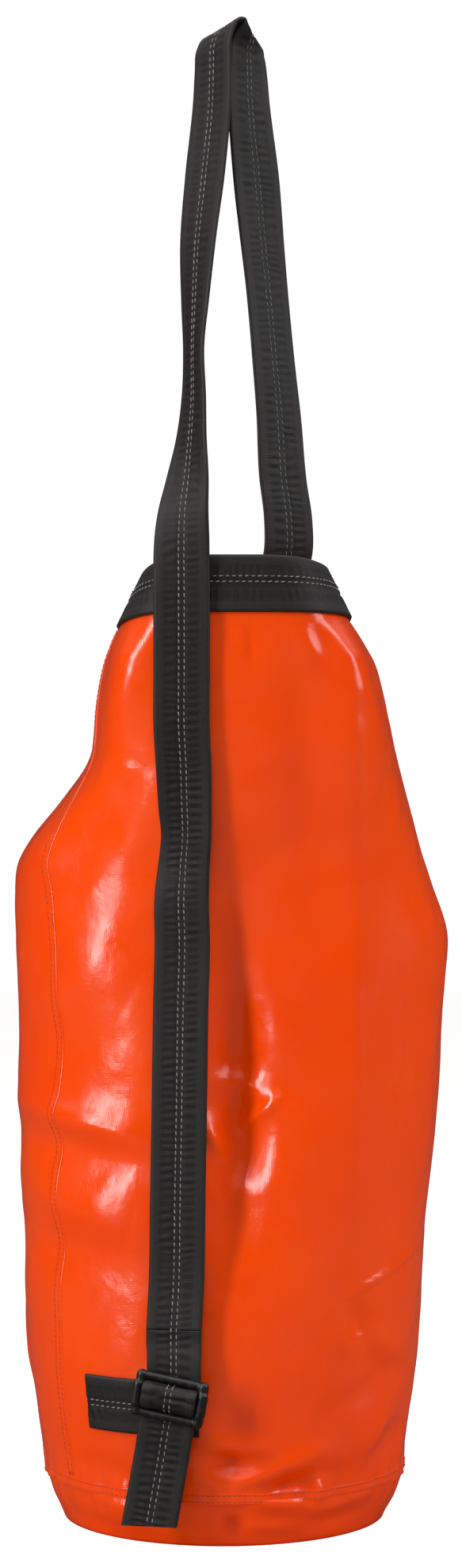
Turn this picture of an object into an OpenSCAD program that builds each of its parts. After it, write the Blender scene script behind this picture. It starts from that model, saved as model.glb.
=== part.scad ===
// Rope storage bag: a tarpaulin tube on a round base, with its mouth pinched
// narrow, a webbing band round the rim, and one long shoulder strap that is
// sewn inside the rim, loops up, runs down the front and ends in a buckle.
// Millimetres. +Z is up, -Y is the strap side, the origin is the middle of
// the flat underside of the base.

/* [Bag] */
// Height of the front of the rim above the floor
bag_h = 673; // [650:1:700]
// Width across the widest part of the bag
bag_w = 306; // [296:1:316]
// Depth of the mouth, front to back
mouth_d = 322; // [310:1:334]
// Radius of the base at its seam
base_r = 127; // [125:0.5:129]
// Thickness of the tarpaulin
cloth_t = 1.5; // [1:0.1:2]
// Height of the base seam above the floor
seam_z = 35; // [30:1:40]
// How far the left side of the rim hangs lower than its front
dip_left = 12; // [0:1:16]
// How far the right side of the rim hangs lower than its front
dip_right = 4; // [0:1:12]

/* [Webbing] */
// Width of the strap, the rim band and the anchor patch
web_w = 38; // [36:0.5:40]
// Thickness of the folded fabric webbing
web_t = 2.4; // [2:0.1:2.8]
// Height of the strap loop above the rim
loop_h = 358; // [300:1:400]
// Length of the free tail below the buckle
tail_len = 72; // [50:1:76]
// Distance between the twin rows of stitching
row_gap = 3.7; // [3:0.1:5]

/* [Buckle] */
// Width of the buckle
buckle_w = 47; // [47:0.5:50]
// Height of the buckle
buckle_h = 30; // [30:0.5:34]
// Radius of the bars
bar_r = 2.5; // [2:0.1:2.5]
// Lean of the buckle, right end down
buckle_roll = 10; // [0:1:15]
// Turn of the buckle towards the left
buckle_yaw = 12; // [6:1:14]

/* [Hidden] */

TARP = [0.90, 0.27, 0.06];
WEBBING = [0.13, 0.12, 0.125];
THREAD = [0.50, 0.49, 0.48];
PLASTIC = [0.05, 0.05, 0.055];

// Shape of the outside of the wall: height, then how far it reaches to the
// left, right, front and back, and how square it is (2 is an oval).
kz = bag_h / 673;
kx = bag_w / 306;
ky = mouth_d / 322;
SHAPE = [
    [seam_z, base_r, base_r, base_r, base_r, 2.0],
    [75 * kz, 134 * kx, 133 * kx, 133 * ky, 133 * ky, 2.0],
    [110 * kz, 139 * kx, 137 * kx, 136 * ky, 136 * ky, 2.0],
    [240 * kz, 144 * kx, 147 * kx, 132 * ky, 126 * ky, 2.1],
    [370 * kz, 148 * kx, 157 * kx, 128 * ky, 114 * ky, 2.2],
    [415 * kz, 148 * kx, 158 * kx, 127 * ky, 110 * ky, 2.3],
    [465 * kz, 147 * kx, 144 * kx, 130 * ky, 114 * ky, 2.4],
    [485 * kz, 135 * kx, 138 * kx, 135 * ky, 122 * ky, 2.5],
    [502 * kz, 121 * kx, 133 * kx, 140 * ky, 130 * ky, 2.7],
    [536 * kz, 94 * kx, 124 * kx, 148 * ky, 144 * ky, 3.0],
    [555 * kz, 88 * kx, 119 * kx, 151 * ky, 149 * ky, 3.2],
    [600 * kz, 83 * kx, 105 * kx, 155 * ky, 156 * ky, 3.6],
    [632 * kz, 75 * kx, 90 * kx, 157 * ky, 159 * ky, 4.0],
    [652 * kz, 65 * kx, 80 * kx, 158 * ky, 160 * ky, 4.5],
    [bag_h, 55 * kx, 69 * kx, 158 * ky, 161 * ky, 5.0]
];
LEFT = 1;
RIGHT = 2;
FRONT = 3;
BACK = 4;
SQUARE = 5;
AROUND = 64;

function reach(z, side) = lookup(z, [for (row = SHAPE) [row[0], row[side]]]);
function dip(z, c) =
    (c < 0 ? dip_left : dip_right) * c * c * min(1, max(0, (z - 560 * kz) / (bag_h - 560 * kz)));
// Point on the wall at height z and angle t, d outside its face
function wall_point(z, t, d) =
    let (c = cos(t), s = sin(t), p = 2 / reach(z, SQUARE))
    let (rx = reach(z, c > 0 ? RIGHT : LEFT) + d, ry = reach(z, s > 0 ? BACK : FRONT) + d)
    [sign(c) * rx * pow(abs(c), p), sign(s) * ry * pow(abs(s), p), z - dip(z, c)];
// Front face of the wall at x and height z
function front_y(x, z) =
    let (n = reach(z, SQUARE), u = abs(x) / reach(z, x > 0 ? RIGHT : LEFT))
    -reach(z, FRONT) * pow(1 - pow(u, n), 1 / n);

// Closed solid from rings of equal size; loop_rings joins the last ring to
// the first, otherwise the two end rings are capped, point by facing point.
module ring_solid(rings, loop_rings = false) {
    k = len(rings);
    m = len(rings[0]);
    points = [for (r = rings) for (p = r) p];
    sides = [
        for (i = [0 : (loop_rings ? k - 1 : k - 2)])
            for (j = [0 : m - 1])
                let (a = i * m, b = ((i + 1) % k) * m, e = (j + 1) % m)
                each [[a + j, b + j, b + e], [a + j, b + e, a + e]]
    ];
    last = (k - 1) * m;
    caps = loop_rings ? [] : [
        for (j = [0 : m / 2 - 2])
            let (f = m - 2 - j, g = m - 1 - j)
            each [
                [j, j + 1, f], [j, f, g],
                [last + f, last + j + 1, last + j], [last + g, last + f, last + j]
            ]
    ];
    polyhedron(points = points, faces = concat(sides, caps), convexity = 8);
}

// Whole band of the wall over the heights zs, from d0 to d1 outside its face
module wall_band(zs, d0, d1) {
    n = len(zs);
    outer = [for (z = zs) [for (j = [0 : AROUND - 1]) wall_point(z, -360 * j / AROUND, d1)]];
    inner = [
        for (i = [n - 1 : -1 : 0])
            [for (j = [0 : AROUND - 1]) wall_point(zs[i], -360 * j / AROUND, d0)]
    ];
    ring_solid(concat(outer, inner), loop_rings = true);
}

// Patch of the wall over the heights zs, between two angles at each height
module wall_patch(zs, t0, t1, d0, d1, steps = 6) {
    rings = [
        for (i = [0 : len(zs) - 1])
            let (z = zs[i])
            concat(
                [for (j = [0 : steps]) wall_point(z, t0[i] + (t1[i] - t0[i]) * j / steps, d0)],
                [for (j = [steps : -1 : 0]) wall_point(z, t0[i] + (t1[i] - t0[i]) * j / steps, d1)]
            )
    ];
    ring_solid(rings);
}

function heights(from, to) =
    concat([from], [for (row = SHAPE) if (row[0] > from + 1 && row[0] < to - 1) row[0]], [to]);

// A flat ribbon along stations [x, y, z, a, b]: its width points along the
// plan angle a, lifted by b.  side and out shift it across and off its face.
function width_dir(s) = [cos(s[3]) * cos(s[4]), sin(s[3]) * cos(s[4]), sin(s[4])];
function centre(s) = [s[0], s[1], s[2]];
function unit(v) = v / norm(v);
function ribbon_ring(path, i, w, t, side, out) =
    let (n = len(path) - 1)
    let (run = unit(centre(path[min(n, i + 1)]) - centre(path[max(0, i - 1)])))
    let (across = width_dir(path[i]), face = unit(cross(across, run)))
    let (mid = centre(path[i]) + across * side + face * out)
    concat(
        [for (k = [-1 : 1]) mid + across * k * w / 2 - face * t / 2],
        [for (k = [1 : -1 : -1]) mid + across * k * w / 2 + face * t / 2]
    );
// Stations with cuts - 1 more between each two
function finer(path, cuts) = concat(
    [
        for (i = [0 : len(path) - 2])
            for (c = [0 : cuts - 1])
                path[i] + (path[i + 1] - path[i]) * c / cuts
    ],
    [path[len(path) - 1]]
);
module ribbon(path, w, t, side = 0, out = 0) {
    ring_solid([for (i = [0 : len(path) - 1]) ribbon_ring(path, i, w, t, side, out)]);
}
// Twin rows of stitching on the outer face of a ribbon
module twin_rows(path) {
    thread_w = 0.9;
    thread_t = 0.5;
    for (side = [-row_gap / 2, row_gap / 2])
        ribbon(path, thread_w, thread_t, side, web_t / 2 + thread_t / 2 + 0.2);
}

// Strap loop above the rim, from the front leg over the top to the back leg
hinge_z = bag_h + 7;
front_x = -28 * kx;
front_strap_y = front_y(front_x + web_w / 2, bag_h) - web_t - web_t / 2 - 1.3;
sewn_x = 44 * kx;
sewn_y = front_strap_y + 17;
kl = (loop_h - 7) / 351;
function above(h) = hinge_z + h * kl;
LOOP = [
    [front_x, front_strap_y, above(0), -4, 0],
    [front_x + 1, front_strap_y, above(25), -28, 0],
    [-24, front_strap_y + 2, above(46), -42, 0],
    [-22, front_strap_y + 4, above(67), -56, 0],
    [-20, front_strap_y + 6, above(99), -66, 0],
    [-20, front_strap_y + 7, above(131), -70, 0],
    [-19, front_strap_y + 8, above(163), -61, 0],
    [-17, front_strap_y + 9, above(205), -50, 0],
    [-12, front_strap_y + 10, above(248), -44, 0],
    [-7.5, front_strap_y + 10.4, above(304), -48, 3],
    [-7.2, front_strap_y + 10.6, above(321.5), -51, 4],
    [-6.2, front_strap_y + 10.1, above(336), -51, 6],
    [-2, front_strap_y + 10.1, above(345), -53, 9],
    [8.8, front_strap_y + 15.4, above(348), -79, 9],
    [17.2, front_strap_y + 15.9, above(344), -109, 16],
    [16.8, front_strap_y + 17.1, above(335), -125, 12],
    [16.5, front_strap_y + 17.9, above(321.5), -132, 5],
    [17, front_strap_y + 17.9, above(303.5), -137, 4],
    [22, front_strap_y + 20, above(248), -147, 0],
    [26, front_strap_y + 19, above(205), -143, 0],
    [29, front_strap_y + 19, above(175), -139, 0],
    [34, front_strap_y + 18, above(121), -139, 0],
    [37, front_strap_y + 18, above(90), -142, 0],
    [40, front_strap_y + 17, above(45), -148, 0],
    [sewn_x - 1, sewn_y, above(18), -150, 0],
    [sewn_x, sewn_y, above(0), -152, 0]
];

// Buckle frame: X along the bars, Z up the strap, -Y outwards
buckle_x = -36 * kx;
buckle_z = 107 * kz;
buckle_y = front_y(buckle_x + 20, buckle_z) - 13.5;

// Strap down the front: height, centre line and plan angle of its width
FRONT_RUN = [
    [673, -28, -4], [652, -28, -4], [632, -28, -4], [600, -28, -4], [555, -28, -5],
    [536, -27, -8], [502, -26, -14], [485, -26, -16], [465, -28, -12], [440, -29, -8],
    [415, -28, -8], [370, -29, -8], [300, -30, -8], [240, -31, -8], [180, -32, -8], [140, -34, -8]
];
// Gap between the strap and the wall: more where it hangs over the rim band
function stand_off(z) =
    lookup(z / kz, [[100, 9], [140, 8], [180, 3], [240, 1.5], [465, 1.5], [632, 4], [673, 4]]);
run_path = concat(
    [
        for (s = FRONT_RUN)
            let (x = s[1] * kx, z = s[0] * kz)
            [x, front_y(x + web_w / 2, z) - web_t / 2 - stand_off(z), z, s[2], 0]
    ],
    [[buckle_x + 2.5, buckle_y + 4.6, buckle_z + 20, -buckle_yaw, -8]]
);

// Bars and the gaps round them, in the frame of the buckle
bar_pitch = buckle_h / 2 - bar_r;
bar_gap = 39;
wrap_gap = 0.6;
behind = bar_r + wrap_gap + web_t / 2;
over = 1.5 + bar_r + wrap_gap + web_t / 2;
loop_bar_r = 2;
loop_bar_y = 9.5;
loop_bar_z = -13;
module at_buckle() {
    translate([buckle_x, buckle_y, buckle_z])
        rotate([0, buckle_roll, -buckle_yaw])
            children();
}
// Strap through the buckle: behind the top bar, over the middle bar, behind
// the bottom bar; each station is [height, outwards].
WRAP = [
    [16.5, -behind], [bar_pitch, -behind], [9, -behind + 1], [6.6, -0.8], [5.2, 2.6],
    [3.4, over - 1.2], [1.4, over], [-1.4, over], [-3.4, over - 1.2], [-5.2, 2.6],
    [-6.6, -0.8], [-9, -behind + 1], [-bar_pitch, -behind], [-15, -behind]
];
tail_top = -16.6;
tail_end = tail_top - tail_len;

module body_panel() {
    color(TARP) wall_band(heights(seam_z, bag_h), -cloth_t, 0);
}

// Angle of the side seam round the wall: it climbs the front left, then turns
// to the left side of the neck
function seam_angle(z) =
    lookup(z / kz, [[35, 212], [400, 219], [465, 213], [536, 199], [600, 193], [673, 190]]);

// Distance of the lap off the flat facets of the wall
lap_gap = 0.45;

module side_seam_lap() {
    zs = heights(seam_z + 6, 630 * kz);
    from = [for (z = zs) seam_angle(z)];
    to = [for (t = from) t + 3.8];
    color(TARP) wall_patch(zs, from, to, lap_gap, lap_gap + cloth_t / 2, 2);
}

module side_seam_stitching() {
    zs = heights(seam_z + 6, 630 * kz);
    for (shift = [0.7, 2.8]) {
        from = [for (z = zs) seam_angle(z) + shift];
        to = [for (t = from) t + 0.35];
        color(THREAD) wall_patch(zs, from, to, lap_gap + 0.1 + cloth_t / 2, lap_gap + 0.5 + cloth_t / 2, 1);
    }
}

module base_panel() {
    corner = 11;
    wall = 1.8;
    color(TARP) rotate_extrude($fn = 96)
        difference() {
            union() {
                square([base_r - corner, seam_z]);
                translate([base_r - corner, corner]) circle(corner, $fn = 48);
                translate([0, corner]) square([base_r, seam_z - corner]);
            }
            translate([base_r - corner, corner]) circle(corner - wall, $fn = 48);
            translate([-1, wall]) square([base_r - corner + 1, seam_z]);
            translate([-1, corner]) square([base_r - wall + 1, seam_z]);
            translate([-base_r, -1]) square([base_r, bag_h]);
        }
}

module base_seam_binding() {
    color(TARP) translate([0, 0, seam_z - 5])
        rotate_extrude($fn = 96) translate([base_r + 0.9, 0]) square([1.3, 9]);
}

module base_seam_stitching() {
    for (dz = [-3, 1.5])
        color(THREAD) translate([0, 0, seam_z + dz])
            rotate_extrude($fn = 96) translate([base_r + 2.25, 0]) square([0.4, 0.8]);
}

module rim_hem() {
    color(TARP) wall_band(heights(bag_h - 30, bag_h - 1), -cloth_t - 1.6, -cloth_t - 0.4);
}

module rim_band() {
    color(WEBBING) wall_band(heights(bag_h - web_w, bag_h), 0.4, 0.4 + web_t);
}

module rim_stitching() {
    for (side = [-row_gap / 2, row_gap / 2]) {
        z = bag_h - 16 + side;
        color(THREAD) wall_band([z - 0.45, z + 0.45], 0.5 + web_t, 0.95 + web_t);
    }
}

module strap_sewn_end() {
    zs = heights(bag_h - web_w, bag_h - 2);
    from = [for (z = zs) -82];
    to = [for (z = zs) -44];
    color(WEBBING) wall_patch(zs, from, to, -cloth_t - 2.1 - web_t, -cloth_t - 2.1, 8);
}

module shoulder_strap_loop() {
    color(WEBBING) ribbon(finer(LOOP, 3), web_w, web_t);
}

module loop_stitching() {
    color(THREAD) twin_rows(finer(LOOP, 3));
}

module strap_front_run() {
    color(WEBBING) ribbon(finer(run_path, 2), web_w, web_t);
}

module front_run_stitching() {
    color(THREAD) twin_rows(finer(run_path, 2));
}

module strap_bar_wrap() {
    path = [for (s = WRAP) [0, -s[1], s[0], 0, 0]];
    color(WEBBING) at_buckle() ribbon(path, web_w, web_t);
}

module tail_outline(w, from) {
    slant = tan(buckle_roll);
    polygon([
        [-w / 2, tail_end - slant * w / 2], [w / 2, tail_end + slant * w / 2],
        [w / 2, from], [-w / 2, from]
    ]);
}

module strap_tail() {
    color(WEBBING) at_buckle()
        translate([0, behind + web_t / 2, 0]) rotate([90, 0, 0])
            linear_extrude(web_t) tail_outline(web_w, tail_top);
}

module tail_stitching() {
    for (side = [-row_gap / 2, row_gap / 2])
        color(THREAD) at_buckle()
            translate([side, behind - web_t / 2 - 0.05, tail_end + 3]) rotate([90, 0, 0])
                linear_extrude(0.5) translate([-0.45, 0]) square([0.9, tail_len - 4]);
}

// Rounded side plate of the buckle that also carries the loop bar
module side_plate() {
    rotate([90, 0, 90]) linear_extrude((buckle_w - bar_gap) / 2)
        union() {
            translate([-4, -buckle_h / 2 + 3]) square([7, buckle_h - 6]);
            translate([-1, -buckle_h / 2]) square([1, buckle_h]);
            translate([-1, buckle_h / 2 - 3]) circle(3, $fn = 32);
            translate([0, buckle_h / 2 - 3]) circle(3, $fn = 32);
            translate([-1, -buckle_h / 2 + 3]) circle(3, $fn = 32);
            translate([0, loop_bar_z - 2]) square([loop_bar_y, 6]);
            translate([loop_bar_y, loop_bar_z + 1]) circle(3, $fn = 32);
        }
}

module buckle_frame() {
    color(PLASTIC) at_buckle() {
        for (x = [-buckle_w / 2, bar_gap / 2]) translate([x, 0, 0]) side_plate();
        for (bar = [[0, bar_pitch], [-1.5, 0], [0, -bar_pitch]])
            translate([-bar_gap / 2 - 1, bar[0], bar[1]]) rotate([0, 90, 0])
                cylinder(h = bar_gap + 2, r = bar_r, $fn = 48);
        translate([-bar_gap / 2 - 1, loop_bar_y, loop_bar_z]) rotate([0, 90, 0])
            cylinder(h = bar_gap + 2, r = loop_bar_r, $fn = 48);
    }
}

module buckle_loop() {
    loop_t = 1.4;
    loop_w = 34;
    inner = loop_bar_r + 0.4;
    color(WEBBING) at_buckle()
        translate([-loop_w / 2, loop_bar_y, loop_bar_z]) rotate([90, 0, 90])
            linear_extrude(loop_w)
                difference() {
                    union() {
                        circle(inner + loop_t, $fn = 48);
                        polygon([[0, -1], [3.4, -1], [6.7, -15], [3.9, -16.5]]);
                    }
                    circle(inner, $fn = 48);
                }
}

module anchor_patch() {
    zs = [buckle_z - 29, buckle_z - 10, buckle_z + 9];
    color(WEBBING) wall_patch(zs, [for (z = zs) 228], [for (z = zs) 263], 0.45, 0.45 + web_t, 12);
}

module anchor_stitching() {
    for (side = [-row_gap / 2, row_gap / 2]) {
        z = buckle_z - 10 + side;
        color(THREAD) wall_patch([z - 0.45, z + 0.45], [230, 230], [240, 240],
            0.6 + web_t, 1.05 + web_t, 3);
    }
}

body_panel();
side_seam_lap();
base_panel();
base_seam_binding();
rim_hem();
rim_band();
strap_sewn_end();
shoulder_strap_loop();
strap_front_run();
strap_bar_wrap();
strap_tail();
buckle_frame();
buckle_loop();
anchor_patch();
rim_stitching();
loop_stitching();
front_run_stitching();
tail_stitching();
anchor_stitching();
base_seam_stitching();
side_seam_stitching();
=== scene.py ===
"""Looks for a tarpaulin rope bag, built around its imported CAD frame.

The bag is a coated-cloth tube on a round base.  Its mouth is pinched narrow and
bound with a band of folded webbing.  One long strap is sewn inside the rim, loops
up, passes in front of the rim, runs down the bag and is threaded through a moulded
buckle near the base.  Everything is in metres, +Z up, -Y the strap side.
"""

import logging
import math
from dataclasses import dataclass, field
from enum import Enum

import bpy
import numpy as np
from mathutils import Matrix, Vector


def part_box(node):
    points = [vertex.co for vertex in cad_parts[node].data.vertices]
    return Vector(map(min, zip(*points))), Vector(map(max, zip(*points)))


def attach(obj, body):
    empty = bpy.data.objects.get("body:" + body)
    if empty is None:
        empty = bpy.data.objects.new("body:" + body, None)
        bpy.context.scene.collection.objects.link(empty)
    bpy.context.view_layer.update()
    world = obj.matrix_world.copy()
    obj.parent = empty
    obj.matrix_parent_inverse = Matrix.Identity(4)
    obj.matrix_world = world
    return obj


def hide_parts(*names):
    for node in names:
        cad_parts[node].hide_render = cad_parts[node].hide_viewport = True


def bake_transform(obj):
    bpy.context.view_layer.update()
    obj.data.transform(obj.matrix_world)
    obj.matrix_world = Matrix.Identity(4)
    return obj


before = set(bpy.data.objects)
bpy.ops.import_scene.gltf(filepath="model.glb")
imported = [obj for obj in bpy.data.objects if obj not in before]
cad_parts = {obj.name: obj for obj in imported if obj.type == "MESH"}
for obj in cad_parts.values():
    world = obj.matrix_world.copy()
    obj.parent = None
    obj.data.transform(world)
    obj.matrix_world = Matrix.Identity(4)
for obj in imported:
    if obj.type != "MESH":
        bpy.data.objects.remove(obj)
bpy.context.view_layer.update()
log = logging.getLogger("rope_bag")
MM = 0.001
WAVE_PITCH = 0.314
"""Metres between the bands of a wave texture at scale 1."""


# ---------------------------------------------------------------- helpers


def srgb(code: str) -> tuple[float, float, float, float]:
    """Turns an sRGB hex colour into the linear RGBA that shaders take.

    Args:
        code: Six hex digits, such as "f04a0c".

    Returns:
        Linear red, green, blue and an alpha of 1.
    """
    channels = [int(code[i : i + 2], 16) / 255 for i in (0, 2, 4)]
    linear = [c / 12.92 if c <= 0.04045 else ((c + 0.055) / 1.055) ** 2.4 for c in channels]
    return (linear[0], linear[1], linear[2], 1.0)


def add_node(
    tree: bpy.types.NodeTree,
    kind: str,
    settings: dict | None = None,
    inputs: dict | None = None,
) -> bpy.types.Node:
    """Adds one node with its settings and its input values or links.

    Args:
        tree: Shader or geometry node tree that gets the node.
        kind: Blender's type name of the node.
        settings: Attributes of the node, by name.
        inputs: Values or output sockets to link, by input name or index.

    Returns:
        The new node.
    """
    node = tree.nodes.new(kind)
    for key, value in (settings or {}).items():
        setattr(node, key, value)
    for key, value in (inputs or {}).items():
        if isinstance(value, bpy.types.NodeSocket):
            tree.links.new(value, node.inputs[key])
        else:
            node.inputs[key].default_value = value
    return node


def ramp(tree: bpy.types.NodeTree, factor: bpy.types.NodeSocket, stops: list) -> bpy.types.Node:
    """Adds a colour ramp.

    Args:
        tree: Shader tree.
        factor: Socket that drives the ramp.
        stops: Pairs of position and RGBA colour, in order.

    Returns:
        The ramp node.
    """
    node = add_node(tree, "ShaderNodeValToRGB", inputs={"Fac": factor})
    bands = node.color_ramp.elements
    while len(bands) < len(stops):
        bands.new(0.5)
    for band, (position, colour) in zip(bands, stops):
        band.position = position
        band.color = colour
    return node


def per_metre(size_mm: float) -> float:
    """The texture scale that gives a noise cell of a real size in millimetres."""
    return 1 / (size_mm * MM)


def grey(value: float) -> tuple[float, float, float, float]:
    """A neutral ramp colour that carries a number."""
    return (value, value, value, 1.0)


def new_material(name: str) -> tuple[bpy.types.Material, bpy.types.NodeTree, bpy.types.Node]:
    """Makes an empty node material with its Principled shader wired up.

    Args:
        name: Name of the real material or finish.

    Returns:
        The material, its tree and its Principled shader node.
    """
    material = bpy.data.materials.new(name)
    material.use_nodes = True
    tree = material.node_tree
    tree.nodes.clear()
    shader = add_node(tree, "ShaderNodeBsdfPrincipled")
    add_node(tree, "ShaderNodeOutputMaterial", inputs={"Surface": shader.outputs["BSDF"]})
    return material, tree, shader


def mesh_piece(
    name: str,
    points: np.ndarray,
    faces: list,
    material: bpy.types.Material,
    uv: np.ndarray | None = None,
) -> bpy.types.Object:
    """Makes a smooth-shaded object from points and faces, at the origin.

    Args:
        name: Name of the piece.
        points: Array of points, in metres.
        faces: Lists of point numbers, anticlockwise from outside.
        material: Finish of the whole piece.
        uv: Optional surface coordinates in metres, one pair for each point.

    Returns:
        The new object, linked to the scene.
    """
    mesh = bpy.data.meshes.new(name)
    mesh.from_pydata(np.asarray(points, dtype=float).tolist(), [], faces)
    if uv is not None:
        layer = mesh.uv_layers.new(name="cloth")
        corners = np.empty(len(mesh.loops), dtype=np.int32)
        mesh.loops.foreach_get("vertex_index", corners)
        layer.data.foreach_set("uv", np.asarray(uv, dtype=np.float32)[corners].ravel())
    mesh.materials.append(material)
    mesh.shade_smooth()
    mesh.validate()
    obj = bpy.data.objects.new(name, mesh)
    bpy.context.scene.collection.objects.link(obj)
    return obj


def grid_faces(rows: int, columns: int, wrap: bool, start: int = 0, flip: bool = False) -> list:
    """Quads of a grid of points laid out row by row.

    Args:
        rows: Number of rows.
        columns: Number of points in each row.
        wrap: Whether the last column joins the first.
        start: Number of the grid's first point.
        flip: Whether the faces point the other way.

    Returns:
        The quads as lists of point numbers.
    """
    i, j = np.meshgrid(np.arange(rows - 1), np.arange(columns if wrap else columns - 1), indexing="ij")
    k = (j + 1) % columns
    quads = np.stack([i * columns + j, i * columns + k, (i + 1) * columns + k, (i + 1) * columns + j], -1)
    quads = quads.reshape(-1, 4) + start
    return (quads[:, ::-1] if flip else quads).tolist()


def unit(v: np.ndarray) -> np.ndarray:
    """Vectors along the last axis, scaled to length one."""
    return v / np.maximum(np.linalg.norm(v, axis=-1, keepdims=True), 1e-12)


def smooth_noise(seed: int, a: np.ndarray, b: np.ndarray, pitch: float, waves: int = 7) -> np.ndarray:
    """Soft irregular waves over a surface, as a sum of seeded sines.

    Args:
        seed: Seed of the directions and phases.
        a: First surface coordinate.
        b: Second surface coordinate, in the same unit.
        pitch: Mean distance between crests, in that unit.
        waves: Number of sines.

    Returns:
        Values of about -1 to 1.
    """
    rng = np.random.default_rng(seed)
    total = np.zeros(np.broadcast(a, b).shape)
    for _ in range(waves):
        angle, phase = rng.uniform(0, 2 * math.pi, 2)
        k = 2 * math.pi / (pitch * rng.uniform(0.65, 1.5))
        total += np.sin(k * (a * math.cos(angle) + b * math.sin(angle)) + phase)
    return total / math.sqrt(2 * waves) / 1.4


# --------------------------------------------------------------- finishes


@dataclass(frozen=True)
class Tarpaulin:
    """PVC-coated polyester: a calendered film over an open scrim, glossy and slightly uneven."""

    name: str
    body: str
    worn: str
    scrim_mm: float = 1.6
    shade_mm: float = 111.0
    smudge_mm: float = 26.3
    crumple_mm: float = 23.8
    roughness: float = 0.19
    ior: float = 1.47

    def material(self) -> bpy.types.Material:
        """Builds the finish: even bright colour, soft smudged gloss, faint scrim print-through."""
        mat, tree, shader = new_material(self.name)
        place = add_node(tree, "ShaderNodeTexCoord").outputs["Object"]
        broad = add_node(
            tree,
            "ShaderNodeTexNoise",
            inputs={"Vector": place, "Scale": per_metre(self.shade_mm), "Detail": 3.0},
        )
        tone = ramp(tree, broad.outputs["Fac"], [(0.3, srgb(self.body)), (0.75, srgb(self.worn))])
        tree.links.new(tone.outputs["Color"], shader.inputs["Base Color"])
        smudge = add_node(
            tree,
            "ShaderNodeTexNoise",
            inputs={"Vector": place, "Scale": per_metre(self.smudge_mm), "Detail": 4.0},
        )
        gloss = ramp(
            tree,
            smudge.outputs["Fac"],
            [(0.3, grey(self.roughness - 0.06)), (0.7, grey(self.roughness + 0.08))],
        )
        tree.links.new(gloss.outputs["Color"], shader.inputs["Roughness"])
        cloth = add_node(tree, "ShaderNodeUVMap", {"uv_map": "cloth"}).outputs["UV"]
        # The yarns of the scrim, drawn as two crossed ribs at their real pitch.
        rib_scale = WAVE_PITCH / (self.scrim_mm * MM)
        warp = add_node(
            tree,
            "ShaderNodeTexWave",
            {"bands_direction": "X"},
            {"Vector": cloth, "Scale": rib_scale, "Distortion": 0.4},
        )
        weft = add_node(
            tree,
            "ShaderNodeTexWave",
            {"bands_direction": "Y"},
            {"Vector": cloth, "Scale": rib_scale, "Distortion": 0.4},
        )
        ribs = add_node(
            tree,
            "ShaderNodeMath",
            {"operation": "MAXIMUM"},
            {0: warp.outputs["Fac"], 1: weft.outputs["Fac"]},
        )
        scrim = add_node(
            tree,
            "ShaderNodeBump",
            inputs={"Height": ribs.outputs[0], "Strength": 0.10, "Distance": 0.0002},
        )
        crumple = add_node(
            tree,
            "ShaderNodeTexNoise",
            inputs={"Vector": place, "Scale": per_metre(self.crumple_mm), "Detail": 6.0},
        )
        film = add_node(
            tree,
            "ShaderNodeBump",
            inputs={
                "Height": crumple.outputs["Fac"],
                "Strength": 0.40,
                "Distance": 0.0022,
                "Normal": scrim.outputs["Normal"],
            },
        )
        tree.links.new(film.outputs["Normal"], shader.inputs["Normal"])
        shader.inputs["IOR"].default_value = self.ior
        return mat


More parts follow.
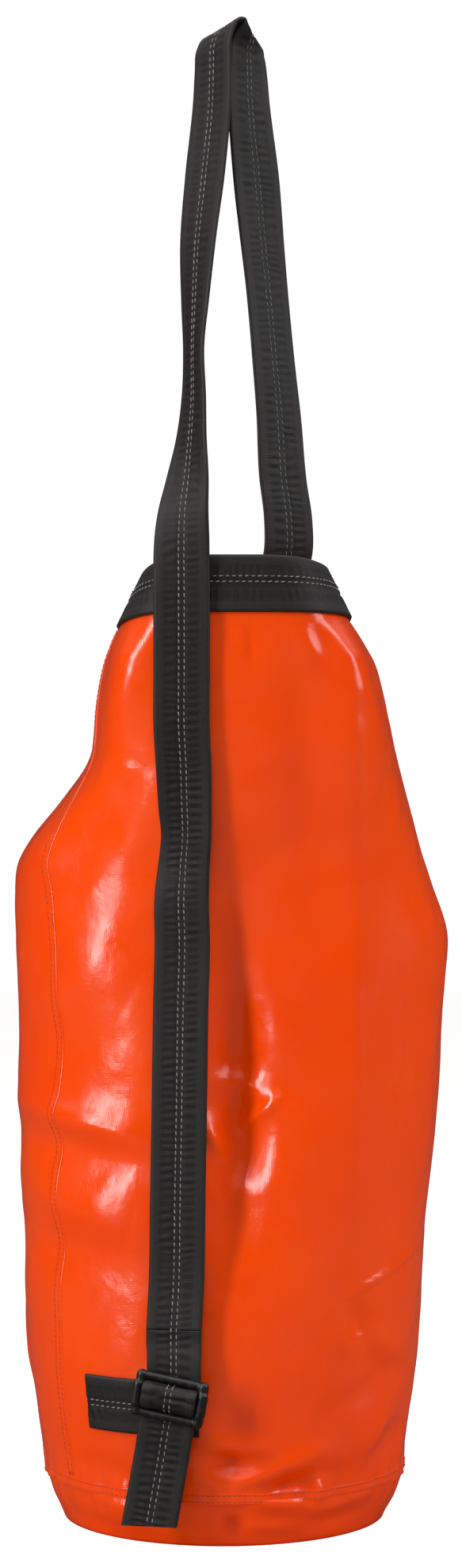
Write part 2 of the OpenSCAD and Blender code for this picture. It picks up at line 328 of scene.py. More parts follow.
@dataclass(frozen=True)
class FoldedWebbing:
    """Black coated fabric folded to a strap: dull, slightly dusty, paler towards its edges."""

    name: str
    body: str
    edge: str
    half_width: float = 0.019
    weave_mm: float = 1.0
    streak_across_mm: float = 1.11
    streak_along_mm: float = 7.7
    roughness: float = 0.58
    ior: float = 1.42

    def material(self) -> bpy.types.Material:
        """Builds the finish from the strap's own coordinates: across in U, along in V."""
        mat, tree, shader = new_material(self.name)
        cloth = add_node(tree, "ShaderNodeUVMap", {"uv_map": "cloth"}).outputs["UV"]
        across = add_node(tree, "ShaderNodeSeparateXYZ", inputs={0: cloth}).outputs["X"]
        offset = add_node(tree, "ShaderNodeMath", {"operation": "ABSOLUTE"}, {0: across})
        ratio = add_node(
            tree, "ShaderNodeMath", {"operation": "DIVIDE"}, {0: offset.outputs[0], 1: self.half_width}
        )
        edges = ramp(
            tree, ratio.outputs[0], [(0.60, grey(0.0)), (0.68, grey(0.75)), (1.0, grey(1.0))]
        )
        streak_scale = (per_metre(self.streak_across_mm), per_metre(self.streak_along_mm), 1.0)
        stretched = add_node(
            tree, "ShaderNodeMapping", inputs={"Vector": cloth, "Scale": streak_scale}
        )
        streaks = add_node(
            tree,
            "ShaderNodeTexNoise",
            inputs={"Vector": stretched.outputs[0], "Scale": 1.0, "Detail": 4.0},
        )
        dust = add_node(
            tree,
            "ShaderNodeMath",
            {"operation": "MULTIPLY_ADD"},
            {0: streaks.outputs["Fac"], 1: 0.55, 2: -0.05},
        )
        blend = add_node(
            tree,
            "ShaderNodeMath",
            {"operation": "MULTIPLY_ADD", "use_clamp": True},
            {0: edges.outputs["Color"], 1: 0.45, 2: dust.outputs[0]},
        )
        tone = add_node(
            tree,
            "ShaderNodeMix",
            {"data_type": "RGBA"},
            {"Factor": blend.outputs[0], 6: srgb(self.body), 7: srgb(self.edge)},
        )
        tree.links.new(tone.outputs[2], shader.inputs["Base Color"])
        # The weave is finer than this on the real fabric; it is drawn at one
        # millimetre so that it shows.
        rib_scale = WAVE_PITCH / (self.weave_mm * MM)
        threads = [
            add_node(
                tree,
                "ShaderNodeTexWave",
                {"bands_direction": direction},
                {"Vector": cloth, "Scale": rib_scale, "Distortion": 0.8},
            ).outputs["Fac"]
            for direction in ("X", "Y")
        ]
        weave = add_node(
            tree, "ShaderNodeMath", {"operation": "MULTIPLY"}, {0: threads[0], 1: threads[1]}
        )
        bump = add_node(
            tree,
            "ShaderNodeBump",
            inputs={"Height": weave.outputs[0], "Strength": 0.35, "Distance": 0.0003},
        )
        tree.links.new(bump.outputs["Normal"], shader.inputs["Normal"])
        shader.inputs["Roughness"].default_value = self.roughness
        shader.inputs["IOR"].default_value = self.ior
        return mat


@dataclass(frozen=True)
class BondedThread:
    """Bonded polyester sewing thread: slightly waxy, dulled here and there by dirt."""

    name: str
    body: str
    grime_mm: float = 6.25
    shaded: float = 0.55

    def material(self) -> bpy.types.Material:
        """Builds the finish: one colour, unevenly soiled along its length."""
        mat, tree, shader = new_material(self.name)
        place = add_node(tree, "ShaderNodeTexCoord").outputs["Object"]
        grime = add_node(
            tree,
            "ShaderNodeTexNoise",
            inputs={"Vector": place, "Scale": per_metre(self.grime_mm), "Detail": 2.0},
        )
        dark = tuple(c * self.shaded for c in srgb(self.body)[:3]) + (1.0,)
        tone = ramp(tree, grime.outputs["Fac"], [(0.35, dark), (0.65, srgb(self.body))])
        tree.links.new(tone.outputs["Color"], shader.inputs["Base Color"])
        shader.inputs["Roughness"].default_value = 0.5
        shader.inputs["Sheen Weight"].default_value = 0.2
        return mat


@dataclass(frozen=True)
class MouldedAcetal:
    """Injection-moulded black acetal: smooth, with a faint spark-eroded grain."""

    name: str
    body: str
    rubbed: str = "201e1d"
    grain_mm: float = 0.5
    scuff_mm: float = 4.17
    ior: float = 1.48

    def material(self) -> bpy.types.Material:
        """Builds the finish: near black, semi-gloss, lightly scuffed."""
        mat, tree, shader = new_material(self.name)
        place = add_node(tree, "ShaderNodeTexCoord").outputs["Object"]
        scuff = add_node(
            tree,
            "ShaderNodeTexNoise",
            inputs={"Vector": place, "Scale": per_metre(self.scuff_mm), "Detail": 4.0},
        )
        gloss = ramp(tree, scuff.outputs["Fac"], [(0.35, grey(0.32)), (0.7, grey(0.50))])
        tree.links.new(gloss.outputs["Color"], shader.inputs["Roughness"])
        grain = add_node(
            tree,
            "ShaderNodeTexNoise",
            inputs={"Vector": place, "Scale": per_metre(self.grain_mm), "Detail": 1.0},
        )
        bump = add_node(
            tree,
            "ShaderNodeBump",
            inputs={"Height": grain.outputs["Fac"], "Strength": 0.08, "Distance": 0.0002},
        )
        tree.links.new(bump.outputs["Normal"], shader.inputs["Normal"])
        tone = ramp(tree, scuff.outputs["Fac"], [(0.3, srgb(self.body)), (0.9, srgb(self.rubbed))])
        tree.links.new(tone.outputs["Color"], shader.inputs["Base Color"])
        shader.inputs["IOR"].default_value = self.ior
        return mat


@dataclass(frozen=True)
class MattePaper:
    """Seamless pale studio paper for the floor."""

    name: str = "studio_paper"
    body: str = "dcdad6"
    mottled: str = "e0deda"
    mottle_mm: float = 333.0
    glow: float = 0.74
    mirrored: float = 0.10

    def material(self) -> bpy.types.Material:
        """Builds the finish: pale, dull, with very faint mottling."""
        mat, tree, shader = new_material(self.name)
        place = add_node(tree, "ShaderNodeTexCoord").outputs["Object"]
        scale = per_metre(self.mottle_mm)
        mottle = add_node(tree, "ShaderNodeTexNoise", inputs={"Vector": place, "Scale": scale})
        tone = ramp(tree, mottle.outputs["Fac"], [(0.3, srgb(self.body)), (0.8, srgb(self.mottled))])
        path = add_node(tree, "ShaderNodeLightPath").outputs
        # Kept dim in mirror reflections, so that the cloth does not wash out.
        dim = add_node(
            tree,
            "ShaderNodeMix",
            {"data_type": "RGBA"},
            {"Factor": path["Is Glossy Ray"], 6: tone.outputs["Color"], 7: grey(self.mirrored)},
        )
        tree.links.new(dim.outputs[2], shader.inputs["Base Color"])
        seen = path["Is Camera Ray"]
        lift = add_node(
            tree, "ShaderNodeMath", {"operation": "MULTIPLY"}, {0: seen, 1: self.glow}
        )
        shader.inputs["Emission Color"].default_value = (1.0, 1.0, 1.0, 1.0)
        tree.links.new(lift.outputs[0], shader.inputs["Emission Strength"])
        shader.inputs["Roughness"].default_value = 0.9
        shader.inputs["Specular IOR Level"].default_value = 0.1
        return mat


class Slot(Enum):
    """The record's material slots."""

    TARPAULIN = "orange_tarpaulin"
    WEBBING = "black_webbing"
    THREAD = "grey_thread"
    SEAM_THREAD = "orange_thread"
    ACETAL = "black_acetal"


class Body(Enum):
    """The rigid bodies of the frame."""

    ROOT = "root"
    LOOP = "strap_loop"
    BUCKLE = "buckle"
    TAIL = "tail"


@dataclass
class Wardrobe:
    """All finishes of the bag, made once."""

    tarpaulin: bpy.types.Material = field(init=False)
    webbing: bpy.types.Material = field(init=False)
    thread: bpy.types.Material = field(init=False)
    seam_thread: bpy.types.Material = field(init=False)
    acetal: bpy.types.Material = field(init=False)

    def __post_init__(self) -> None:
        """Builds each material."""
        self.tarpaulin = Tarpaulin("orange_pvc_tarpaulin", "f54b00", "ee4200").material()
        self.webbing = FoldedWebbing("folded_black_webbing", "0c0a09", "282322").material()
        self.thread = BondedThread("grey_bonded_thread", "8d8986").material()
        self.seam_thread = BondedThread("orange_bonded_thread", "b5360c").material()
        self.acetal = MouldedAcetal("black_moulded_acetal", "0c0b0b").material()


def settle(
    piece: bpy.types.Object,
    body: Body,
    slot: Slot,
    *nodes: str,
    to: Body | None = None,
    start: tuple | None = None,
    end: tuple | None = None,
) -> None:
    """Puts a piece on its body, or bakes its place into its points where it spans a joint, and hides the
    CAD nodes that it replaces.

    Args:
        piece: The finished piece.
        body: Body that it rides on, or the first of the two that it spans.
        slot: Not used.
        nodes: CAD nodes that it replaces.
        to: Second body, where the piece spans a joint; the piece then rides on no body.
        start: Not used.
        end: Not used.
    """
    if to is None:
        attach(piece, body.value)
    else:
        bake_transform(piece)
    if nodes:
        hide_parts(*nodes)
    log.info("%s: %d faces", piece.name, len(piece.data.polygons))


# --------------------------------------------------------------- stitching


@dataclass(frozen=True)
class StitchStyle:
    """Pitch, visible length and thread radius in millimetres, and slant in radians."""

    pitch_mm: float = 4.4
    length_mm: float = 3.4
    radius_mm: float = 0.45
    slant: float = 0.10


STRAP_STITCH = StitchStyle()
SUNK_STITCH = StitchStyle(radius_mm=0.26)
RIM_STITCH = StitchStyle(length_mm=3.3, radius_mm=0.42)
SEAM_STITCH = StitchStyle(3.6, 2.9, 0.24)


class Stitcher:
    """Sews rows of lockstitch along paths with one Geometry Nodes tree."""

    def __init__(self) -> None:
        """Builds the tree: path, even points, one small thread lump at each."""
        tree = bpy.data.node_groups.new("lockstitch_row", "GeometryNodeTree")
        panel = tree.interface
        panel.new_socket("Path", in_out="INPUT", socket_type="NodeSocketGeometry")
        for name in ("Pitch", "Stitch Length", "Thread Radius", "Slant"):
            panel.new_socket(name, in_out="INPUT", socket_type="NodeSocketFloat")
        panel.new_socket("Thread", in_out="INPUT", socket_type="NodeSocketMaterial")
        panel.new_socket("Stitches", in_out="OUTPUT", socket_type="NodeSocketGeometry")
        given = add_node(tree, "NodeGroupInput").outputs
        curve = add_node(tree, "GeometryNodeMeshToCurve", inputs={"Mesh": given["Path"]})
        even = add_node(
            tree,
            "GeometryNodeResampleCurve",
            {"mode": "LENGTH"},
            {"Curve": curve.outputs[0], "Length": given["Pitch"]},
        )
        ball = add_node(
            tree, "GeometryNodeMeshUVSphere", inputs={"Segments": 6, "Rings": 5, "Radius": 1.0}
        )
        half = add_node(
            tree, "ShaderNodeMath", {"operation": "MULTIPLY"}, {0: given["Stitch Length"], 1: 0.5}
        )
        size = add_node(
            tree,
            "ShaderNodeCombineXYZ",
            inputs={"X": half.outputs[0], "Y": given["Thread Radius"], "Z": given["Thread Radius"]},
        )
        lump = add_node(
            tree,
            "GeometryNodeTransform",
            inputs={"Geometry": ball.outputs["Mesh"], "Scale": size.outputs[0]},
        )
        tangent = add_node(tree, "GeometryNodeInputTangent")
        facing = add_node(
            tree, "GeometryNodeInputNamedAttribute", {"data_type": "FLOAT_VECTOR"}, {"Name": "facing"}
        )
        along = add_node(
            tree,
            "FunctionNodeAlignRotationToVector",
            {"axis": "X"},
            {"Vector": tangent.outputs[0]},
        )
        upright = add_node(
            tree,
            "FunctionNodeAlignRotationToVector",
            {"axis": "Z", "pivot_axis": "X"},
            {"Rotation": along.outputs[0], "Vector": facing.outputs[0]},
        )
        lean = add_node(tree, "ShaderNodeCombineXYZ", inputs={"Z": given["Slant"]})
        turned = add_node(
            tree,
            "FunctionNodeRotateRotation",
            {"rotation_space": "LOCAL"},
            {"Rotation": upright.outputs[0], "Rotate By": lean.outputs[0]},
        )
        placed = add_node(
            tree,
            "GeometryNodeInstanceOnPoints",
            inputs={
                "Points": even.outputs[0],
                "Instance": lump.outputs[0],
                "Rotation": turned.outputs[0],
            },
        )
        real = add_node(tree, "GeometryNodeRealizeInstances", inputs={0: placed.outputs[0]})
        smooth = add_node(tree, "GeometryNodeSetShadeSmooth", inputs={0: real.outputs[0]})
        dyed = add_node(
            tree,
            "GeometryNodeSetMaterial",
            inputs={"Geometry": smooth.outputs[0], "Material": given["Thread"]},
        )
        add_node(tree, "NodeGroupOutput", inputs={"Stitches": dyed.outputs[0]})
        self.tree = tree

    def socket(self, name: str) -> str:
        """The identifier of a named input of the tree."""
        for item in self.tree.interface.items_tree:
            if item.item_type == "SOCKET" and item.in_out == "INPUT" and item.name == name:
                return item.identifier
        raise KeyError(name)

    def sew(
        self,
        name: str,
        rows: list[tuple[np.ndarray, np.ndarray]],
        thread: bpy.types.Material,
        style: StitchStyle = STRAP_STITCH,
    ) -> bpy.types.Object:
        """Sews rows of stitches and returns them as one plain mesh.

        Args:
            name: Name of the piece.
            rows: For each row, its points and the outward directions there.
            thread: Finish of the thread.
            style: Sizes of the stitches.

        Returns:
            The stitches.
        """
        points = np.concatenate([row[0] for row in rows])
        facing = np.concatenate([row[1] for row in rows])
        edges = []
        start = 0
        for row in rows:
            count = len(row[0])
            edges += [(start + i, start + i + 1) for i in range(count - 1)]
            start += count
        mesh = bpy.data.meshes.new(name)
        mesh.from_pydata(points.tolist(), edges, [])
        layer = mesh.attributes.new("facing", "FLOAT_VECTOR", "POINT")
        layer.data.foreach_set("vector", facing.astype(np.float32).ravel())
        obj = bpy.data.objects.new(name, mesh)
        bpy.context.scene.collection.objects.link(obj)
        modifier = obj.modifiers.new("stitches", "NODES")
        modifier.node_group = self.tree
        modifier[self.socket("Pitch")] = style.pitch_mm * MM
        modifier[self.socket("Stitch Length")] = style.length_mm * MM
        modifier[self.socket("Thread Radius")] = style.radius_mm * MM
        modifier[self.socket("Slant")] = style.slant
        modifier[self.socket("Thread")] = thread
        graph = bpy.context.evaluated_depsgraph_get()
        plain = bpy.data.meshes.new_from_object(obj.evaluated_get(graph))
        obj.modifiers.remove(modifier)
        obj.data = plain
        plain.name = name
        return obj


# ----------------------------------------------------------------- the bag


@dataclass
class WallShape:
    """The outside of the bag's wall, the same shape as the frame's.

    Each station is a height, then the reach to the left, right, front and back, in
    millimetres, and how square the section is.
    """

    stations: tuple = (
        (35, 127, 127, 127, 127, 2.0),
        (75, 134, 133, 133, 133, 2.0),
        (110, 139, 137, 136, 136, 2.0),
        (240, 144, 147, 132, 126, 2.1),
        (370, 148, 157, 128, 114, 2.2),
        (415, 148, 158, 127, 110, 2.3),
        (465, 147, 144, 130, 114, 2.4),
        (485, 135, 138, 135, 122, 2.5),
        (502, 121, 133, 140, 130, 2.7),
        (536, 94, 124, 148, 144, 3.0),
        (555, 88, 119, 151, 149, 3.2),
        (600, 83, 105, 155, 156, 3.6),
        (632, 75, 90, 157, 159, 4.0),
        (652, 65, 80, 158, 160, 4.5),
        (673, 55, 69, 158, 161, 5.0),
    )
    dip_left: float = 0.012
    dip_right: float = 0.004
    dip_from: float = 0.560
    soften: float = 0.006
    top: float = field(init=False)
    seam: float = field(init=False)

    def __post_init__(self) -> None:
        """Scales the stations to the frame and smooths them into curves."""
        low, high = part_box("body_panel")
        table = np.array(self.stations, dtype=float)
        table[:, :5] *= MM
        wide = (high[0] - low[0]) / (table[:, 1].max() + table[:, 2].max())
        table[:, 1:3] *= wide
        self.top = float(table[-1, 0])
        self.seam = float(low[2])
        step = 0.001
        self.z = np.arange(self.seam - 0.03, self.top + 0.03, step)
        reach = np.arange(-25, 26) * step
        bell = np.exp(-0.5 * (reach / self.soften) ** 2)
        bell /= bell.sum()
        self.curves = []
        for column in range(1, 6):
            slope = (table[-1, column] - table[-2, column]) / (table[-1, 0] - table[-2, 0])
            values = np.interp(self.z, table[:, 0], table[:, column])
            above = self.z > table[-1, 0]
            values[above] = table[-1, column] + slope * (self.z[above] - table[-1, 0])
            padded = np.pad(values, 25, mode="edge")
            self.curves.append(np.convolve(padded, bell, mode="valid"))

    def reach(self, z: np.ndarray, column: int) -> np.ndarray:
        """Reach or squareness at a height: 0 left, 1 right, 2 front, 3 back, 4 squareness."""
        return np.interp(z, self.z, self.curves[column])

    def point(self, z: np.ndarray, angle: np.ndarray, out: float = 0.0) -> np.ndarray:
        """Points on the wall.

        Args:
            z: Heights.
            angle: Angles round the wall in radians, 0 to the right, anticlockwise.
            out: Distance outside the wall.

        Returns:
            Array of points.
        """
        c, s = np.cos(angle), np.sin(angle)
        power = 2 / self.reach(z, 4)
        rx = np.where(c > 0, self.reach(z, 1), self.reach(z, 0)) + out
        ry = np.where(s > 0, self.reach(z, 3), self.reach(z, 2)) + out
        ramp_up = np.clip((z - self.dip_from) / (self.top - self.dip_from), 0, 1)
        dip = np.where(c < 0, self.dip_left, self.dip_right) * c * c * ramp_up
        x = np.sign(c) * rx * np.abs(c) ** power
        y = np.sign(s) * ry * np.abs(s) ** power
        return np.stack([x, y, z - dip + 0 * x], axis=-1)

    def front_y(self, x: float, z: float) -> float:
        """The wall's front face at x and height z."""
        n = self.reach(z, 4)
        u = abs(x) / self.reach(z, 1 if x > 0 else 0)
        return float(-self.reach(z, 2) * (1 - u**n) ** (1 / n))

    def section(self, z: float, where: np.ndarray) -> np.ndarray:
        """Angles that cut a section into given fractions of its girth.

        Args:
            z: Height of the section.
            where: Fractions of the girth, 0 and 1 at the middle of the back.

        Returns:
            Angles in radians.
        """
        dense = np.linspace(math.pi / 2, math.pi / 2 + 2 * math.pi, 2881)
        ring = self.point(np.full_like(dense, z), dense)
        length = np.concatenate([[0], np.cumsum(np.linalg.norm(np.diff(ring, axis=0), axis=1))])
        return np.interp(where * length[-1], length, dense)


@dataclass(frozen=True)
class Fold:
    """A ridge or valley in the cloth, along a line on the front of the wall, in millimetres."""

    x0: float
    z0: float
    x1: float
    z1: float
    width: float
    height: float
    sharp: float = 0.0

    def lift(self, x: np.ndarray, z: np.ndarray) -> np.ndarray:
        """Height of the fold over the wall, in millimetres.

        Args:
            x: Places across, in millimetres.
            z: Heights, in millimetres.

        Returns:
            How far the cloth moves out.
        """
        run = np.array([self.x1 - self.x0, self.z1 - self.z0])
        length = float(np.hypot(*run)) or 1.0
        t = ((x - self.x0) * run[0] + (z - self.z0) * run[1]) / length**2
        held = np.clip(t, 0, 1)
        d = np.hypot(x - self.x0 - held * run[0], z - self.z0 - held * run[1])
        taper = np.clip(np.sin(math.pi * np.clip(t, 0.0, 1.0)), 0, 1) ** 0.8
        ends = np.where((t < 0) | (t > 1), 0.35, 0.35 + 0.65 * taper)
        soft = np.exp(-0.5 * (d / self.width) ** 2)
        blunt = 0.3 * self.width
        crisp = np.exp((blunt - np.hypot(d, blunt)) / self.width)
        return self.height * ends * (soft * (1 - self.sharp) + crisp * self.sharp)


@dataclass
class BagWall:
    """The tarpaulin tube, its lapped side seam, its base and its seams."""

    shape: WallShape
    columns_front: int = 196
    columns_back: int = 92
    rows: int = 209
    cloth: float = 0.0012
    tuck: float = 0.013
    strap_x: float = -0.030
    strap_half: float = 0.024
    folds: tuple = (
        # Edge where the front face turns to the right side.
        Fold(80, 640, 90, 470, 17, 11.0, 0.35),
        Fold(56, 625, 62, 490, 14, -7.0),
        Fold(90, 480, 87, 225, 15, 8.0, 0.85),
        Fold(112, 560, 124, 300, 15, -4.0),
        Fold(70, 600, 62, 420, 15, -4.0),
        # Hollow beside the strap and the crumple in it.
        Fold(6, 440, 8, 185, 17, -20.0),
        Fold(15, 370, 19, 240, 12, -7.0),
        Fold(-12, 290, -1, 268, 5, 8.0, 0.4),
        Fold(14, 286, 38, 306, 3.5, 6.0, 0.6),
        Fold(-8, 318, 30, 312, 7, 5.0, 0.3),
        Fold(0, 240, 40, 250, 9, 3.5, 0.3),
        Fold(34, 330, 50, 300, 8, -3.0),
        # Broad waves over the left of the belly.
        Fold(-138, 298, -52, 279, 8, 7.0, 0.2),
        Fold(-138, 272, -60, 262, 9, -4.0),
        Fold(-138, 240, -66, 216, 13, 4.5, 0.2),
        Fold(-138, 205, -62, 196, 14, -4.0),
        Fold(-120, 400, -66, 372, 24, 3.0),
        Fold(-140, 336, -90, 350, 14, -3.0),
        # Left shoulder.
        Fold(-142, 440, -120, 486, 9, 2.5, 0.3),
        Fold(-112, 458, -62, 530, 15, -6.0),
        Fold(-49, 640, -78, 540, 13, 9.0, 0.1),
        Fold(-66, 540, -96, 500, 9, 3.0, 0.3),
        # Small gathers under the rim band.
        Fold(10, 632, 14, 604, 3.5, 2.2, 0.4),
        Fold(18, 632, 18, 600, 3.5, -2.2),
        Fold(48, 634, 62, 600, 5, 3.4, 0.3),
        Fold(58, 632, 84, 592, 5, -3.2),
        Fold(70, 628, 98, 568, 6, 3.4, 0.4),
        # Dent low on the right.
        Fold(104, 182, 106, 178, 22, 4.0),
        Fold(88, 163, 96, 140, 7, -5.0),
        Fold(101, 143, 123, 121, 5, 3.0, 0.4),
        Fold(96, 128, 118, 108, 6, -2.8),
        Fold(78, 160, 84, 128, 6, 2.0, 0.2),
        Fold(72, 89, 117, 112, 6, -3.5),
        Fold(91, 56, 111, 84, 7, 6.0, 0.3),
        Fold(102, 50, 124, 76, 7, -4.0),
        # Folds that fan out of the pinch at the foot.
        Fold(16, 34, 66, 25, 5, 6.0, 0.4),
        Fold(9, 45, 74, 67, 6, 6.0, 0.5),
        Fold(20, 38, 82, 50, 5, -5.0),
        Fold(30, 68, -14, 73, 5, 5.0, 0.4),
        Fold(-12, 61, 30, 57, 6, -6.0),
        Fold(63, 50, 65, 32, 4, 4.5, 0.5),
        Fold(10, 100, 4, 48, 10, -6.0),
        Fold(5, 2, 8, 24, 5, -8.0),
        Fold(14, 14, 60, 11, 5, 4.5, 0.3),
        Fold(58, 22, 100, 30, 5, 5.0, 0.4),
        Fold(64, 14, 98, 18, 5, -3.0),
        Fold(-90, 30, -52, 22, 4, 3.5, 0.4),
        Fold(-14, 40, -40, 24, 6, 4.0, 0.3),
        Fold(-96, 52, -42, 44, 6, -3.0),
        Fold(-104, 22, -50, 14, 6, 2.5),
    )

    def columns(self) -> np.ndarray:
        """Fractions of the girth of the columns, closer together over the front."""
        back = np.linspace(0.0, 0.25, self.columns_back // 2, endpoint=False)
        front = np.linspace(0.25, 0.75, self.columns_front, endpoint=False)
        return np.concatenate([back, front, 0.75 + back])

    def relief(self, points: np.ndarray) -> np.ndarray:
        """How far the cloth stands out of its smooth shape, in metres.

        Args:
            points: Points on the smooth wall.

        Returns:
            Distance outwards at each point.
        """
        x, y, z = points[..., 0] / MM, points[..., 1] / MM, points[..., 2] / MM
        front = np.clip((20 - y) / 60, 0, 1)
        total = np.zeros_like(x)
        for fold in self.folds:
            total += fold.lift(x, z) * front
        angle = np.degrees(np.arctan2(y, x)) * 2.6
        drift = smooth_noise(3, angle, z, 190) * 2.2 + smooth_noise(5, angle, z, 80) * 0.8
        small = smooth_noise(9, angle, z, 30, 9) * 0.22
        pleats = smooth_noise(27, angle * 1.7, z * 0.5, 30, 9) * 1.5
        small += pleats * np.exp(-(((z - 34) / 17) ** 2))
        back = 1 - front
        ripple = smooth_noise(17, angle, z, 110) * 3.0 * back
        total += drift + small + ripple
        rim = np.clip((self.shape.top / MM - 40 - z) / 26, 0, 1)
        foot = np.clip((z - 2) / 14, 0, 1)
        total *= rim**0.8 * foot
        under = np.clip(1.4 - np.abs(x - self.strap_x / MM) / (self.strap_half / MM), 0, 1) * front
        total = total * (1 - under) + np.minimum(total, 0.4) * under
        return total * MM

    def surface(self, z: np.ndarray, angle: np.ndarray, out: float) -> np.ndarray:
        """Points on the creased wall.

        Args:
            z: Heights.
            angle: Angles round the wall.
            out: Distance outside the cloth's face.

        Returns:
            Array of points.
        """
        smooth = self.shape.point(z, angle)
        beyond = self.shape.point(z, angle, 0.001)
        outward = unit((beyond - smooth) * np.array([1, 1, 0]))
        return smooth + outward * (self.relief(smooth) + out)[..., None]

    def build(self, wardrobe: Wardrobe, stitcher: Stitcher) -> None:
        """Builds the wall, the base and the seams.

        Args:
            wardrobe: The finishes.
            stitcher: Sews the seams.
        """
        self.build_wall(wardrobe)
        self.build_base(wardrobe, stitcher)
        self.build_side_seam(wardrobe, stitcher)

    def build_wall(self, wardrobe: Wardrobe) -> None:
        """Builds the tube as a closed thin shell.

        Args:
            wardrobe: The finishes.
        """
        where = self.columns()
        heights = np.linspace(self.shape.seam, self.shape.top - 0.0005, self.rows)
        angles = np.stack([self.shape.section(z, where) for z in heights])
        z = np.repeat(heights[:, None], len(where), axis=1)
        outer = self.surface(z, angles, 0.0)
        across = np.roll(outer, -1, axis=1) - np.roll(outer, 1, axis=1)
        up = np.gradient(outer, axis=0)
        normal = unit(np.cross(across, up))
        inner = (outer - normal * self.cloth)[::2]
        columns = outer.shape[1]
        count = self.rows * columns
        faces = grid_faces(self.rows, columns, True)
        faces += grid_faces(len(inner), columns, True, count, flip=True)
        last = (self.rows - 1) * columns
        inner_last = count + (len(inner) - 1) * columns
        for j in range(columns):
            k = (j + 1) % columns
            faces.append([j, count + j, count + k, k])
            faces.append([last + k, inner_last + k, inner_last + j, last + j])
        girth = np.concatenate([[0], np.cumsum(np.linalg.norm(np.diff(outer[90], axis=0), axis=1))])
        uv = np.stack([np.repeat(girth[None], self.rows, axis=0), z], axis=-1)
        uv = np.concatenate([uv.reshape(-1, 2), uv[::2].reshape(-1, 2)])
        points = np.concatenate([outer.reshape(-1, 3), inner.reshape(-1, 3)])
        piece = mesh_piece("wall_tarpaulin", points, faces, wardrobe.tarpaulin, uv)
        settle(piece, Body.ROOT, Slot.TARPAULIN, "body_panel")

    def build_base(self, wardrobe: Wardrobe, stitcher: Stitcher) -> None:
        """Builds the cupped base, the bound seam over its edge and its stitches.

        Args:
            wardrobe: The finishes.
            stitcher: Sews the seam.
        """
        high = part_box("base_panel")[1]
        radius, top = high[0], high[2]
        wall = self.cloth
        around = 192
        heights = np.linspace(0, top, 15)
        bulge = radius - self.tuck * (1 - heights / top) ** 1.3
        outer = [(r, 0.0) for r in np.linspace(0.0005, radius - self.tuck, 22)]
        outer += list(zip(bulge[1:], heights[1:]))
        inner = [(max(min(r, radius - self.tuck) - wall, 0.0003), wall) for r, h in outer[:22]]
        inner += [(r - wall, max(h, wall)) for r, h in outer[22:]]
        profile = np.array(outer + inner[::-1])
        angle = -np.arange(around) / around * 2 * math.pi
        rings = np.zeros((len(profile), around, 3))
        rings[..., 0] = profile[:, :1] * np.cos(angle)
        rings[..., 1] = profile[:, :1] * np.sin(angle)
        rings[..., 2] = profile[:, 1:]
        x, y, z = rings[..., 0] / MM, rings[..., 1] / MM, rings[..., 2] / MM
        side = np.clip((np.hypot(x, y) - 100) / 20, 0, 1) * np.clip(z / 8, 0, 1)
        wrinkle = (smooth_noise(21, x, y, 40) * 1.1 + smooth_noise(22, x, y, 17) * 0.4) * side
        fade = np.clip((top / MM - z) / 8, 0, 1)
        pull = unit(rings * np.array([1, 1, 0]))
        lift = self.relief(rings) * side - np.abs(wrinkle) * fade * MM
        rings += pull * lift[..., None]
        faces = grid_faces(len(profile), around, True)
        faces.append(list(range(around))[::-1])
        faces.append([(len(profile) - 1) * around + j for j in range(around)])
        uv = rings[..., :2].reshape(-1, 2)
        piece = mesh_piece("base_cup", rings.reshape(-1, 3), faces, wardrobe.tarpaulin, uv)
        settle(piece, Body.ROOT, Slot.TARPAULIN, "base_panel")

        tape_width, places = 0.0072, 289
        turns = np.linspace(0, 2 * math.pi, places)
        level = np.full(places, self.shape.seam)
        reach = radius + 0.0003
        centre = np.stack([reach * np.cos(turns), reach * np.sin(turns), level], axis=-1)
        centre += unit(centre * np.array([1, 1, 0])) * (0.0002 + self.relief(centre))[:, None]
        up = np.tile(np.array([0.0, 0.0, 1.0]), (places, 1))
        out = unit(centre * np.array([1, 1, 0]))
        tape = Ribbon(centre, up, out, tape_width, 0.0005, closed=True)
        piece = tape.mesh("base_seam_tape", wardrobe.tarpaulin)
        settle(piece, Body.ROOT, Slot.TARPAULIN, "base_seam_binding")
        rows = [(centre + up * side + out * 0.0005, out) for side in (-0.0022, 0.0022)]
        thread = stitcher.sew("base_seam_stitches", rows, wardrobe.seam_thread, SEAM_STITCH)
        settle(thread, Body.ROOT, Slot.SEAM_THREAD, "base_seam_stitching")

